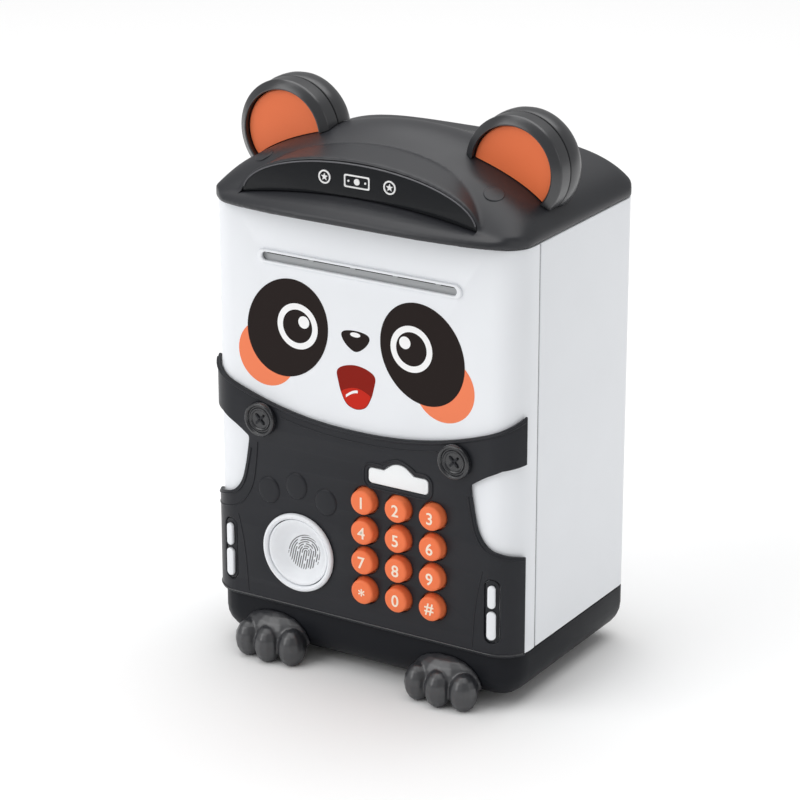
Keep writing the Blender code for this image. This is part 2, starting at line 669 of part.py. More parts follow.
def build_door_shell(door):
    """White front shell with its openings."""
    panel = solid("door_panel", outline_solid([door_outline(0.0, DOOR_REAR_Y)],
                                              DOOR_BOTTOM, DOOR_TOP, "Z"),
                  "white", parent=door, pivot=HINGE)
    hollow = outline_solid([door_outline(WALL, DOOR_REAR_Y + 5)],
                           DOOR_BOTTOM + DOOR_EDGE_WALL, DOOR_TOP - DOOR_EDGE_WALL, "Z")
    combine(panel, cutter("door_hollow", hollow))
    openings = {
        "slot_hole": [stadium(0.0, SLOT_Z, SLOT_HALF - 0.6, 2.2)],
        "keypad_hole": [rectangle(KEY_X - 22.6, KEY_X + 22.6, KEY_Z - 26.0, KEY_Z + 26.0)],
        "finger_hole": [circle(FINGER_X, FINGER_Z, 15.4, 28)],
        "lamp_hole": [circle(18.4, 88.4, 1.8, 12)],
    }
    for name, loops in openings.items():
        combine(panel, cutter(name, outline_solid(loops, FRONT_Y - 3, FRONT_Y + 4)))
    for place, low, high in (("top", DOOR_TOP - 5, DOOR_TOP + 2), ("bottom", DOOR_BOTTOM - 2, DOOR_BOTTOM + 5)):
        combine(panel, cutter(f"door_pin_hole_{place}", rod(
            PIN_RADIUS + GAP, (HINGE_X, HINGE_Y, low), (HINGE_X, HINGE_Y, high))))
    for place, low, high in (("top", DOOR_TOP - 3.6, 190.8), ("bottom", 19.2, DOOR_BOTTOM + 3.6)):
        solid(f"hinge_pin_{place}", rod(PIN_RADIUS, (HINGE_X, HINGE_Y, low), (HINGE_X, HINGE_Y, high), 16),
              "steel")


def build_suit(door):
    """Dungarees moulding with raised toe pads and its trim pieces."""
    holes = [circle(x, z, KEY_RADIUS + 0.4, 12, 1.9 * number)
             for number, (_, x, z) in enumerate(key_places())]
    holes.append(circle(FINGER_X, FINGER_Z, 15.4, 22))
    holes.append(cloud_outline(0.3))
    for side in (-1, 1):
        holes.append(stadium(side * POCKET_X, POCKET_Z, POCKET_HALF_LENGTH, POCKET_HALF_WIDTH, 4, True))
    plate = outline_solid([suit_outline()] + holes, SUIT_FRONT, SUIT_BACK)
    wrap_round_corners(plate)
    suit = solid("suit_panel", plate, "charcoal", parent=door, pivot=HINGE)
    for number, (x, z) in enumerate(((-40.6, 71.6), (-28.1, 76.0), (-14.5, 72.0))):
        pad = ball((x, SUIT_FRONT + 0.5, z), (4.6, 1.2, 5.6), 14, 8)
        combine(suit, cutter(f"toe_pad_{number}", pad), "UNION")

    lens = outline_solid([cloud_outline()], SUIT_FRONT + 0.4, SUIT_BACK - 0.1)
    solid("cloud_lens", lens, "milky", parent=door, pivot=HINGE)
    for side, name in ((-1, "left"), (1, "right")):
        build_pocket(door, side, name)
        profile = [(0.0, 1.7), (4.4, 1.7), (5.2, 2.5), (6.4, 2.5), (7.0, 1.9), (7.1, 0.1), (0.0, 0.1)]
        turned(f"belt_button_{name}", profile, "charcoal",
               (side * BELT_BUTTON_X, SUIT_FRONT - 0.2, BELT_BUTTON_Z), (math.pi / 2, 0.0, 0.0), 24,
               parent=door)


def build_pocket(door, side, name):
    """White insert with two raised bars in the pocket slot."""
    plate = outline_solid([stadium(0.0, 0.0, POCKET_HALF_LENGTH - GAP, POCKET_HALF_WIDTH - GAP, 5, True)],
                          -0.9, 0.3)
    insert = solid(f"pocket_trim_{name}", plate, "white", parent=door)
    angle = pocket_turn(side)
    radius = CORNER_Y - SUIT_FRONT - 0.5
    insert.rotation_euler = (0.0, 0.0, angle)
    insert.location = Vector((side * CORNER_X + radius * math.sin(angle),
                              CORNER_Y - radius * math.cos(angle), POCKET_Z)) * MM
    for label, low, high in (("upper", 1.0, 11.0), ("lower", -11.4, -0.8)):
        bar = outline_solid([stadium(0.0, (low + high) / 2, (high - low) / 2, 1.8, 5, True)], -1.5, 0.0)
        tool = cutter(f"pocket_bar_{label}_{name}", bar)
        tool.rotation_euler = insert.rotation_euler
        tool.location = insert.location
        combine(insert, tool, "UNION")


def build_front_controls(door):
    """Note slot trim, keys, finger button and the parts behind them."""
    frame = outline_solid([stadium(0.0, SLOT_Z, SLOT_HALF + 0.6, 2.8), stadium(0.0, SLOT_Z, SLOT_HALF - 2.2, 1.1)],
                          FRONT_Y - 1.0, FRONT_Y - GAP)
    bezel = solid("note_slot_bezel", frame, "white", parent=door, pivot=HINGE)
    sleeve = outline_solid([stadium(0.0, SLOT_Z, SLOT_HALF - 0.9, 1.9), stadium(0.0, SLOT_Z, SLOT_HALF - 2.2, 1.1)],
                           FRONT_Y - 0.6, FRONT_Y + 3.6)
    combine(bezel, cutter("note_slot_sleeve", sleeve), "UNION")

    front = (math.pi / 2, 0.0, 0.0)
    cap = [(0.0, 3.5), (4.0, 3.2), (5.2, 2.1), (KEY_RADIUS, -1.8), (KEY_FLANGE, -1.9),
           (KEY_FLANGE, -2.8), (3.0, -2.9), (3.0, -3.6), (0.0, -3.6)]
    for label, x, z in key_places():
        turned(f"key_{label}", cap, "orange", (x, SUIT_FRONT, z), front, 12, parent=door)

    ring = [(14.6, 1.6), (15.4, 1.9), (16.0, 1.6), (FINGER_RADIUS, 0.7), (FINGER_RADIUS, 0.3), (15.0, 0.3),
            (15.0, -4.6), (14.2, -4.6), (14.2, 1.2)]
    turned("fingerprint_bezel", ring, "white", (FINGER_X, SUIT_FRONT, FINGER_Z), front, 24, parent=door)
    dish = [(0.0, -2.4), (8.4, -2.3), (11.0, -0.9), (13.0, 0.8), (13.8, 0.9), (13.8, -3.4), (12.6, -3.6),
            (0.0, -3.7)]
    turned("fingerprint_pad", dish, "white", (FINGER_X, SUIT_FRONT, FINGER_Z), front, 24, parent=door)

    solid("keypad_membrane", box((KEY_X - 22.0, -36.5, KEY_Z - 25.4), (KEY_X + 22.0, -35.3, KEY_Z + 25.4)),
          "rubber", parent=door, pivot=HINGE)
    solid("control_board", box((-45.0, -34.9, 30.0), (44.0, -33.4, 92.0)), "board",
          parent=door, pivot=HINGE)
    turned("speaker", [(0.0, 5.5), (5.0, 5.5), (6.0, 3.0), (14.0, 1.6), (14.0, 0.2), (12.0, -0.6), (4.0, 1.4),
                       (0.0, 1.0)],
           "grey", (-30.0, -32.0, 112.0), (-math.pi / 2, 0.0, 0.0), 24, parent=door)


def build_inner_cover(door):
    """Rear cover of the door with the housing of the note feed."""
    inside = HALF_WIDTH - WALL - GAP
    low, high = DOOR_BOTTOM + DOOR_EDGE_WALL + GAP, DOOR_TOP - DOOR_EDGE_WALL - GAP
    cover = solid("door_inner_cover",
                  outline_solid([rectangle(-inside, inside, low, high)], DOOR_REAR_Y - 2.0, DOOR_REAR_Y),
                  "white", parent=door, pivot=HINGE)
    combine(cover, cutter("feed_house", box((-50.0, DOOR_REAR_Y - 1.0, 124.0), (50.0, -9.0, 181.0))), "UNION")
    combine(cover, cutter("feed_space", box((-48.0, -30.0, 126.0), (48.0, -11.0, 179.0))))
    combine(cover, cutter("note_exit", box((-42.0, -14.0, SLOT_Z - 1.6), (42.0, -6.0, SLOT_Z + 1.6))))
    combine(cover, cutter("shaft_bore", rod(1.8, (-53, ROLLER_Y, ROLLER_Z), (53, ROLLER_Y, ROLLER_Z))))
    for i in range(5):
        for j in range(3):
            hole = rod(1.5, (-38.0 + 4 * i, -30.0, 108.0 + 4 * j), (-38.0 + 4 * i, -20.0, 108.0 + 4 * j), 8)
            combine(cover, cutter(f"sound_hole_{i}_{j}", hole))
    for number, (x, z) in enumerate(((-62.0, 176.0), (60.0, 36.0)), start=1):
        combine(cover, cutter(f"screw_seat_{number}", rod(2.9, (x, -30, z), (x, -20, z), 16)))
        turned(f"cover_screw_{number}",
               [(0.0, 6.0), (1.1, 5.6), (1.1, 1.6), (2.6, 1.4), (2.6, 0.2), (0.0, 0.1)],
               "steel", (x, DOOR_REAR_Y, z), (math.pi / 2, 0.0, 0.0), 14, parent=door)


def gear(teeth, axis_y, axis_z, start, end, turn):
    """Spur gear of module 1 along X, with narrow straight-sided teeth."""
    pitch_radius = teeth / 2
    root, tip = pitch_radius - 1.2, pitch_radius + 0.8
    points = []
    for tooth in range(teeth):
        centre = turn + 2 * math.pi * tooth / teeth
        for offset, radius in ((-0.30, root), (-0.12, tip), (0.12, tip), (0.30, root)):
            angle = centre + offset * 2 * math.pi / teeth
            points.append((axis_y + radius * math.cos(angle), axis_z + radius * math.sin(angle)))
    return loft([[(x, y, z) for y, z in points] for x in (start, end)])


def build_feed(door):
    """Motor, pinion and the geared roller that draws a note in."""
    shaft = rod(1.5, (-49.6, ROLLER_Y, ROLLER_Z), (49.6, ROLLER_Y, ROLLER_Z), 16)
    centre = (0.0, ROLLER_Y, ROLLER_Z)
    roller = solid("feed_roller", shaft, "rubber", parent=door, pivot=centre)
    drum = cutter("roller_drum", rod(ROLLER_RADIUS, (-40, ROLLER_Y, ROLLER_Z), (40, ROLLER_Y, ROLLER_Z), 24))
    combine(roller, drum, "UNION")
    wheel = cutter("roller_gear", gear(GEAR_TEETH, ROLLER_Y, ROLLER_Z, 43.6, 46.6, math.radians(-90)))
    combine(roller, wheel, "UNION")

    motor_z = ROLLER_Z - GEAR_CENTRES
    half_step = math.pi / PINION_TEETH
    pinion = solid("motor_pinion", gear(PINION_TEETH, ROLLER_Y, motor_z, 43.6, 46.6,
                                        math.radians(90) + half_step),
                   "grey", parent=door, pivot=(0.0, ROLLER_Y, motor_z))
    combine(pinion, cutter("pinion_shaft", rod(1.0, (41.6, ROLLER_Y, motor_z), (46.0, ROLLER_Y, motor_z), 12)),
            "UNION")
    solid("feed_motor", rod(8.0, (16.0, ROLLER_Y, motor_z), (41.2, ROLLER_Y, motor_z), 24), "steel",
          parent=door, pivot=HINGE)


def build_lock(door):
    """Solenoid body and the bolt that slides out of it."""
    body = solid("lock_solenoid", box((-56.0, DOOR_REAR_Y + GAP, LOCK_Z - 9), (-41.0, -8.6, LOCK_Z + 9)),
                 "grey", parent=door, pivot=HINGE)
    combine(body, cutter("bolt_bore", rod(2.9, (-60, BOLT_Y, LOCK_Z), (-43.0, BOLT_Y, LOCK_Z), 16)))
    bolt = rod(2.5, (BOLT_TIP, BOLT_Y, LOCK_Z), (BOLT_TIP + BOLT_LENGTH, BOLT_Y, LOCK_Z), 16)
    solid("lock_bolt", bolt, "steel", parent=door, pivot=(BOLT_TIP, BOLT_Y, LOCK_Z))


def build_all():
    """Make every part of the money box."""
    build_case()
    build_base()
    build_roof()
    build_ears()
    door = bpy.data.objects.new("door_hinge", None)
    door.location = Vector(HINGE) * MM
    PARTS.objects.link(door)
    bpy.context.view_layer.update()
    build_door_shell(door)
    build_suit(door)
    build_front_controls(door)
    build_inner_cover(door)
    build_feed(door)
    build_lock(door)


clear_scene()
PARTS = make_collection("panda_money_box")
CUTTERS = make_collection("cutters")
build_all()
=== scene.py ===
"""Looks of the panda money box: finishes, fine surfaces, studio and camera.

Sizes are millimetres unless a name says otherwise; meshes are made in metres in the
frame's own axes: +Z up, -Y the front with the keypad, +X to the right of the front.
"""

import json
import logging
import math
import random
from dataclasses import dataclass
from enum import Enum
from typing import Callable, Iterable, Sequence

import bmesh
import bpy
from mathutils import Matrix, Vector


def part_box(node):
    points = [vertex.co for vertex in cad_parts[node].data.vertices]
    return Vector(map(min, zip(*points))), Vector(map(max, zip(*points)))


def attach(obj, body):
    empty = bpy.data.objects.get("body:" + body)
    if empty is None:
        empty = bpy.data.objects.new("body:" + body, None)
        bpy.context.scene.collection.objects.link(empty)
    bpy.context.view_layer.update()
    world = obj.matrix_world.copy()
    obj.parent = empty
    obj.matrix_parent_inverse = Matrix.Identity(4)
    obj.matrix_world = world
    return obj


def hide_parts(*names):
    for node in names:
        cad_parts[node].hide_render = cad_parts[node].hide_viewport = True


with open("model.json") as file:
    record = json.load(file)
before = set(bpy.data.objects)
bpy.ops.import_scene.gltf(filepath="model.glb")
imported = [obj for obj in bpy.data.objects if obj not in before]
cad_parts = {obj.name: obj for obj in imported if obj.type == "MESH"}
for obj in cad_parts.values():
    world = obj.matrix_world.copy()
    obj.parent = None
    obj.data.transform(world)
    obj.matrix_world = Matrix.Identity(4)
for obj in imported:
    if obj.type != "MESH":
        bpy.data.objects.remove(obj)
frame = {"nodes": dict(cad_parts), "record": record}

LOG = logging.getLogger("money_box")
MM = 0.001
Point2 = tuple[float, float]
Point3 = tuple[float, float, float]


# ------------------------------------------------------------------ shader maths
class Value:
    """A shader socket that can be used in ordinary arithmetic."""

    def __init__(self, tree: "ShaderTree", socket: bpy.types.NodeSocket) -> None:
        """Wrap one output socket."""
        self.tree = tree
        self.socket = socket

    def _math(self, operation: str, *terms: "Value | float") -> "Value":
        """Add a Math node that joins the terms."""
        return self.tree.add("ShaderNodeMath", {"operation": operation}, dict(enumerate(terms)))

    def __add__(self, other: "Value | float") -> "Value":
        """Sum."""
        return self._math("ADD", self, other)

    def __sub__(self, other: "Value | float") -> "Value":
        """Difference."""
        return self._math("SUBTRACT", self, other)

    def __rsub__(self, other: float) -> "Value":
        """Difference from a number."""
        return self._math("SUBTRACT", other, self)

    def __mul__(self, other: "Value | float") -> "Value":
        """Product."""
        return self._math("MULTIPLY", self, other)

    __radd__ = __add__
    __rmul__ = __mul__

    def above(self, limit: float) -> "Value":
        """One where the value is above the limit, otherwise zero."""
        return self._math("GREATER_THAN", self, limit)


class ShaderTree:
    """Builds one material's nodes."""

    def __init__(self, material: bpy.types.Material) -> None:
        """Start from an empty tree with a Principled BSDF."""
        material.use_nodes = True
        self.tree = material.node_tree
        self.tree.nodes.clear()
        self.output = self.tree.nodes.new("ShaderNodeOutputMaterial")
        self.shader = self.tree.nodes.new("ShaderNodeBsdfPrincipled")
        self.tree.links.new(self.shader.outputs["BSDF"], self.output.inputs["Surface"])

    def add(self, kind: str, settings: dict, sockets: dict, output: str | int = 0) -> Value:
        """Add any node.

        Args:
            kind: the node's type.
            settings: attributes, set first.
            sockets: input name or number, with a number, colour or Value.
            output: the output that the returned Value reads.

        Returns:
            The chosen output.
        """
        node = self.tree.nodes.new(kind)
        for name, setting in settings.items():
            setattr(node, name, setting)
        for name, value in sockets.items():
            self.feed(node.inputs[name], value)
        return Value(self, node.outputs[output])

    def feed(self, socket: bpy.types.NodeSocket, value: "Value | float | Sequence[float]") -> None:
        """Link or set one input."""
        if isinstance(value, Value):
            self.tree.links.new(value.socket, socket)
        else:
            socket.default_value = value

    def place(self, stretch: Point3 = (1.0, 1.0, 1.0)) -> Value:
        """Object coordinates, stretched along each axis."""
        here = self.add("ShaderNodeTexCoord", {}, {}, "Object")
        return self.add("ShaderNodeMapping", {}, {"Vector": here, "Scale": stretch})

    def noise(self, scale: float, detail: float = 2.0, stretch: Point3 = (1.0, 1.0, 1.0)) -> Value:
        """Soft noise between 0 and 1; scale is in blobs per metre."""
        sockets = {"Vector": self.place(stretch), "Scale": scale, "Detail": detail}
        return self.add("ShaderNodeTexNoise", {}, sockets)

    def mix(self, amount: Value, low: Sequence[float], high: Sequence[float]) -> Value:
        """Blend two colours."""
        return self.add("ShaderNodeMix", {"data_type": "RGBA"},
                        {"Factor": amount, 6: (*low, 1.0), 7: (*high, 1.0)}, 2)

    def bump(self, height: Value, distance: float) -> Value:
        """Normal that follows a height; distance is in metres."""
        return self.add("ShaderNodeBump", {}, {"Height": height, "Distance": distance, "Strength": 1.0},
                        "Normal")


class Texture(Enum):
    """What the surface of a finish looks like close up."""

    SATIN = "satin moulding"
    GLOSS = "polished moulding"
    BRUSHED = "brushed metal"
    RUBBER = "matt rubber"
    BOARD = "circuit board"
    SLEEVE = "printed sleeve"
    INK = "flat print"


@dataclass(frozen=True)
class Finish:
    """One finish: its colour, sheen and close-up texture."""

    name: str
    slot: str
    colour: Point3
    roughness: float
    texture: Texture
    coat: float = 0.0
    metallic: float = 0.0
    second: Point3 | None = None
    specular: float = 0.5

    def shades(self, spread: float = 0.02) -> tuple[Point3, Point3]:
        """The colour a little darker and a little lighter."""
        low = tuple(c * (1 - spread) for c in self.colour)
        high = tuple(min(1.0, c * (1 + spread)) for c in self.colour)
        return low, high

    def material(self) -> bpy.types.Material:
        """The finish's material, made on first use."""
        known = bpy.data.materials.get(self.name)
        if known:
            return known
        material = bpy.data.materials.new(self.name)
        tree = ShaderTree(material)
        shader = tree.shader.inputs
        shader["Metallic"].default_value = self.metallic
        shader["Coat Weight"].default_value = self.coat
        shader["Coat Roughness"].default_value = 0.06
        shader["Specular IOR Level"].default_value = self.specular
        getattr(self, "_" + self.texture.name.lower())(tree, shader)
        return material

    def _moulded(self, tree: ShaderTree, shader, grain: float, depth: float, smudge: float) -> None:
        """Moulded plastic: flow marks, a fine grain and a faint handling haze."""
        low, high = self.shades()
        tree.feed(shader["Base Color"], tree.mix(tree.noise(38.0, 3.0), low, high))
        haze = tree.noise(90.0, 4.0)
        tree.feed(shader["Roughness"], (haze - 0.5) * smudge + self.roughness)
        tree.feed(shader["Normal"], tree.bump(tree.noise(grain, 2.0), depth))

    def _satin(self, tree: ShaderTree, shader) -> None:
        """Spark-eroded mould texture."""
        self._moulded(tree, shader, 2600.0, 0.00003, 0.12)

    def _gloss(self, tree: ShaderTree, shader) -> None:
        """Polished mould with a slight orange peel."""
        self._moulded(tree, shader, 420.0, 0.000012, 0.08)

    def _ink(self, tree: ShaderTree, shader) -> None:
        """Pad-printed ink with a faint screen grain."""
        self._moulded(tree, shader, 1800.0, 0.000006, 0.06)

    def _rubber(self, tree: ShaderTree, shader) -> None:
        """Matt rubber with a coarse grain."""
        self._moulded(tree, shader, 1500.0, 0.00005, 0.10)

    def _brushed(self, tree: ShaderTree, shader) -> None:
        """Metal with fine lines round the axis."""
        lines = tree.noise(900.0, 2.0, (0.04, 1.0, 1.0))
        low, high = self.shades(0.10)
        tree.feed(shader["Base Color"], tree.mix(lines, low, high))
        tree.feed(shader["Roughness"], (lines - 0.5) * 0.25 + self.roughness)
        tree.feed(shader["Normal"], tree.bump(lines, 0.00001))

    def _board(self, tree: ShaderTree, shader) -> None:
        """Solder mask with copper tracks under it."""
        cells = tree.add("ShaderNodeTexBrick", {"offset": 0.5},
                         {"Vector": tree.place(), "Scale": 90.0, "Mortar Size": 0.04}, "Fac")
        tree.feed(shader["Base Color"], tree.mix(cells, self.colour, self.second or self.colour))
        tree.feed(shader["Roughness"], cells * 0.1 + self.roughness)
        tree.feed(shader["Normal"], tree.bump(cells, 0.00004))

    def _sleeve(self, tree: ShaderTree, shader) -> None:
        """Sleeve with a band of a second colour at one end."""
        here = tree.add("ShaderNodeTexCoord", {}, {}, "Object")
        along = tree.add("ShaderNodeSeparateXYZ", {}, {"Vector": here}, "X")
        band = along.above(0.012)
        tree.feed(shader["Base Color"], tree.mix(band, self.colour, self.second or self.colour))
        tree.feed(shader["Roughness"], tree.noise(120.0) * 0.1 + self.roughness)
        tree.feed(shader["Normal"], tree.bump(tree.noise(600.0), 0.00001))


def ink(name: str, slot: str, colour: Point3, roughness: float) -> Finish:
    """Pad-printed ink, which shines less than the plastic under it."""
    return Finish(name, slot, colour, roughness, Texture.INK, specular=0.12)


WHITE = Finish("white_moulding", "white_plastic", (0.85, 0.87, 0.90), 0.34, Texture.GLOSS,
               specular=0.35)
CHARCOAL = Finish("charcoal_satin", "charcoal_plastic", (0.018, 0.019, 0.023), 0.38, Texture.SATIN,
                  specular=0.22)
ROOF_CHARCOAL = Finish("charcoal_roof", "charcoal_plastic", (0.018, 0.019, 0.023), 0.42,
                       Texture.GLOSS, specular=0.50)
# Darker copy of the charcoal plastic: painted shade for the tray, which curves under the box.
SHADED_TRAY_CHARCOAL = Finish("charcoal_tray_painted_shade", "charcoal_plastic", (0.012, 0.013, 0.016), 0.42,
                       Texture.SATIN, specular=0.10)
BLACK_GLOSS = Finish("charcoal_gloss", "gloss_charcoal_plastic", (0.014, 0.015, 0.018), 0.24,
                     Texture.GLOSS, specular=0.70)
SIGN_GLOSS = Finish("sign_gloss", "gloss_charcoal_plastic", (0.011, 0.012, 0.014), 0.18,
                    Texture.GLOSS, specular=0.20)
EAR_GLOSS = Finish("ear_gloss", "gloss_charcoal_plastic", (0.016, 0.017, 0.020), 0.30,
                   Texture.GLOSS, specular=0.90)
# Lighter than the other gloss charcoal of the same plastic: painted sheen for the paws' broad highlights.
PAW_SHEEN_GLOSS = Finish("paw_gloss", "gloss_charcoal_plastic", (0.028, 0.029, 0.033), 0.34,
                   Texture.GLOSS, specular=0.95)
# Much lighter than the sign and roof: painted highlight for the rounded edge round the sign's arch.
BEAD_HIGHLIGHT_GLOSS = Finish("bead_painted_highlight", "gloss_charcoal_plastic", (0.10, 0.10, 0.11), 0.25, Texture.GLOSS)
SHADOW = Finish("slot_shadow", "gloss_charcoal_plastic", (0.012, 0.012, 0.013), 0.8, Texture.SATIN,
                specular=0.1)
ORANGE = Finish("orange_satin", "orange_plastic", (0.90, 0.200, 0.072), 0.42, Texture.SATIN,
                specular=0.25)
GREY = Finish("grey_satin", "grey_plastic", (0.27, 0.28, 0.30), 0.5, Texture.SATIN)
RECESS_GREY = Finish("slot_recess", "grey_plastic", (0.40, 0.41, 0.42), 0.5, Texture.SATIN)
RUBBER = Finish("black_rubber", "black_rubber", (0.025, 0.025, 0.026), 0.75, Texture.RUBBER)
STEEL = Finish("bright_steel", "bright_steel", (0.62, 0.63, 0.65), 0.28, Texture.BRUSHED,
               metallic=1.0)
BOARD = Finish("circuit_board", "circuit_board", (0.02, 0.16, 0.05), 0.4, Texture.BOARD,
               coat=0.1, second=(0.04, 0.28, 0.10))
LENS = Finish("milky_lens", "milky_lens", (0.86, 0.87, 0.87), 0.28, Texture.GLOSS, coat=0.3)
SLEEVE = Finish("battery_sleeve", "battery_case", (0.06, 0.24, 0.08), 0.35, Texture.SLEEVE,
                coat=0.2, second=(0.62, 0.50, 0.16))
FINISHES = {f.slot: f for f in (WHITE, CHARCOAL, BLACK_GLOSS, ORANGE, GREY, RUBBER, STEEL, BOARD,
                                LENS, SLEEVE)}

INK_BLACK = ink("ink_black", "gloss_charcoal_plastic", (0.014, 0.008, 0.007), 0.30)
INK_ORANGE = ink("ink_orange", "orange_plastic", (0.90, 0.235, 0.108), 0.34)
INK_WHITE = ink("ink_white", "white_plastic", (0.92, 0.92, 0.92), 0.32)
INK_RED = ink("ink_dark_red", "orange_plastic", (0.25, 0.008, 0.002), 0.32)
INK_TONGUE = ink("ink_tongue", "orange_plastic", (0.56, 0.020, 0.008), 0.32)
INK_CREAM = ink("ink_cream", "white_plastic", (0.93, 0.80, 0.66), 0.36)
INK_GREY = Finish("ink_grey", "grey_plastic", (0.12, 0.12, 0.125), 0.4, Texture.INK)


# ------------------------------------------------------------------ mesh work
class Side(Enum):
    """Left or right as seen from the front."""

    LEFT = -1
    RIGHT = 1

    @property
    def word(self) -> str:
        """The side's word in a node's name."""
        return self.name.lower()


def finish_piece(name: str, bm: bmesh.types.BMesh, finish: Finish, body: str,
                 replaces: Sequence[str] = (), smooth: float = 40.0) -> bpy.types.Object:
    """Turn millimetre geometry into a piece that rides on a body.

    Args:
        name: the piece's name.
        bm: closed geometry in millimetres, freed here.
        finish: what it is made of.
        body: the rigid body it moves with.
        replaces: CAD nodes that it stands for.
        smooth: edges sharper than this angle stay sharp, in degrees.

    Returns:
        The new object.
    """
    bmesh.ops.scale(bm, vec=(MM, MM, MM), verts=bm.verts)
    bmesh.ops.remove_doubles(bm, verts=bm.verts, dist=1e-7)
    bmesh.ops.recalc_face_normals(bm, faces=bm.faces)
    mesh = bpy.data.meshes.new(name)
    bm.to_mesh(mesh)
    bm.free()
    return adopt(name, mesh, finish, body, replaces, smooth)


def adopt(name: str, mesh: bpy.types.Mesh, finish: Finish, body: str,
          replaces: Sequence[str] = (), smooth: float = 40.0) -> bpy.types.Object:
    """Link a mesh in metres as a piece; see finish_piece."""
    mesh.materials.clear()
    mesh.materials.append(finish.material())
    mesh.shade_smooth()
    mesh.set_sharp_from_angle(angle=math.radians(smooth))
    piece = bpy.data.objects.new(name, mesh)
    bpy.context.scene.collection.objects.link(piece)
    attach(piece, body)
    if replaces:
        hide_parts(*replaces)
    LOG.info("%s: %d faces on %s", name, len(mesh.polygons), body)
    return piece


def evaluated_mesh(helper: bpy.types.Object) -> bpy.types.Mesh:
    """The helper's mesh with modifiers applied; the helper is removed."""
    graph = bpy.context.evaluated_depsgraph_get()
    mesh = bpy.data.meshes.new_from_object(helper.evaluated_get(graph))
    data = helper.data
    bpy.data.objects.remove(helper)
    if isinstance(data, bpy.types.Curve):
        bpy.data.curves.remove(data)
    return mesh


def helper_object(name: str, data: bpy.types.ID) -> bpy.types.Object:
    """An object linked to the scene, such as a temporary one."""
    helper = bpy.data.objects.new(name, data)
    bpy.context.scene.collection.objects.link(helper)
    return helper


def mesh_of(bm: bmesh.types.BMesh, name: str = "helper") -> bpy.types.Mesh:
    """Free a bmesh into a mesh."""
    mesh = bpy.data.meshes.new(name)
    bm.to_mesh(mesh)
    bm.free()
    return mesh


def bmesh_of(mesh: bpy.types.Mesh) -> bmesh.types.BMesh:
    """Read a mesh into a bmesh with its doubles merged; the mesh is removed."""
    bm = bmesh.new()
    bm.from_mesh(mesh)
    bmesh.ops.remove_doubles(bm, verts=bm.verts, dist=1e-4)
    bpy.data.meshes.remove(mesh)
    return bm


def cad_copy(node: str) -> bmesh.types.BMesh:
    """A merged copy of a CAD node's surface, in millimetres."""
    bm = bmesh.new()
    bm.from_mesh(frame["nodes"][node].data)
    bmesh.ops.remove_doubles(bm, verts=bm.verts, dist=1e-6)
    bmesh.ops.scale(bm, vec=(1 / MM, 1 / MM, 1 / MM), verts=bm.verts)
    return bm


def box_mm(node: str) -> tuple[Vector, Vector]:
    """Lowest and highest corner of a CAD node, in millimetres."""
    low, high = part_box(node)
    return low / MM, high / MM


def centre_mm(node: str) -> Vector:
    """Middle of a CAD node's box, in millimetres."""
    low, high = box_mm(node)
    return (low + high) / 2


def circle(cx: float, cz: float, rx: float, rz: float | None = None, steps: int = 48,
           start: float = 0.0) -> list[Point2]:
    """Points round a circle or an ellipse."""
    rz = rx if rz is None else rz
    angles = [start + 2 * math.pi * i / steps for i in range(steps)]
    return [(cx + rx * math.cos(a), cz + rz * math.sin(a)) for a in angles]


def corner_arc(cx: float, cz: float, radius: float, start: float) -> list[Point2]:
    """Quarter circle from a start angle, in degrees."""
    angles = [math.radians(start + 15 * i) for i in range(7)]
    return [(cx + radius * math.cos(a), cz + radius * math.sin(a)) for a in angles]


def stadium(cx: float, cz: float, half: float, radius: float, tilt: float = 0.0,
            steps: int = 12) -> list[Point2]:
    """Slot outline with round ends; tilt is from the X axis, in degrees."""
    points = []
    for sign, start in ((1, -90), (-1, 90)):
        for i in range(steps + 1):
            a = math.radians(start + 180 * i / steps)
            points.append((sign * (half - radius) + radius * math.cos(a), radius * math.sin(a)))
    turn = math.radians(tilt)
    return [(cx + x * math.cos(turn) - z * math.sin(turn), cz + x * math.sin(turn) + z * math.cos(turn))
            for x, z in points]


def smooth_run(points: Sequence[Point2], steps: int = 8, closed: bool = False) -> list[Point2]:
    """Catmull-Rom curve through a few points."""
    n = len(points)
    result = []
    for i in range(n if closed else n - 1):
        if closed:
            p = [points[(i + k) % n] for k in (-1, 0, 1, 2)]
        else:
            p = [points[min(max(i + k, 0), n - 1)] for k in (-1, 0, 1, 2)]
        for s in range(steps):
            t = s / steps
            result.append(tuple(
                0.5 * (2 * p[1][c] + (p[2][c] - p[0][c]) * t
                       + (2 * p[0][c] - 5 * p[1][c] + 4 * p[2][c] - p[3][c]) * t * t
                       + (3 * p[1][c] - p[0][c] - 3 * p[2][c] + p[3][c]) * t ** 3) for c in (0, 1)))
    return result if closed else result + [tuple(points[-1])]


def front_plate(loops: Sequence[Sequence[Point2]], front: float, back: float,
                bevel: float = 0.0) -> bmesh.types.BMesh:
    """Flat plate facing the front.

    Args:
        loops: outline and holes, as (x, z) points.
        front: Y of the front face.
        back: Y of the rear face.
        bevel: rounding of the edges.

    Returns:
        Closed geometry in millimetres.
    """
    curve = bpy.data.curves.new("plate", "CURVE")
    curve.dimensions, curve.fill_mode = "2D", "BOTH"
    curve.extrude = (back - front) / 2 - bevel
    curve.bevel_depth, curve.bevel_resolution, curve.offset = bevel, 2, -bevel
    for loop in loops:
        spline = curve.splines.new("POLY")
        spline.points.add(len(loop) - 1)
        for point, (x, z) in zip(spline.points, loop):
            point.co = (x, z, 0.0, 1.0)
        spline.use_cyclic_u = True
    bm = bmesh_of(evaluated_mesh(helper_object("plate", curve)))
    upright = Matrix(((1, 0, 0, 0), (0, 0, -1, (front + back) / 2), (0, 1, 0, 0), (0, 0, 0, 1)))
    bmesh.ops.transform(bm, matrix=upright, verts=bm.verts)
    return bm


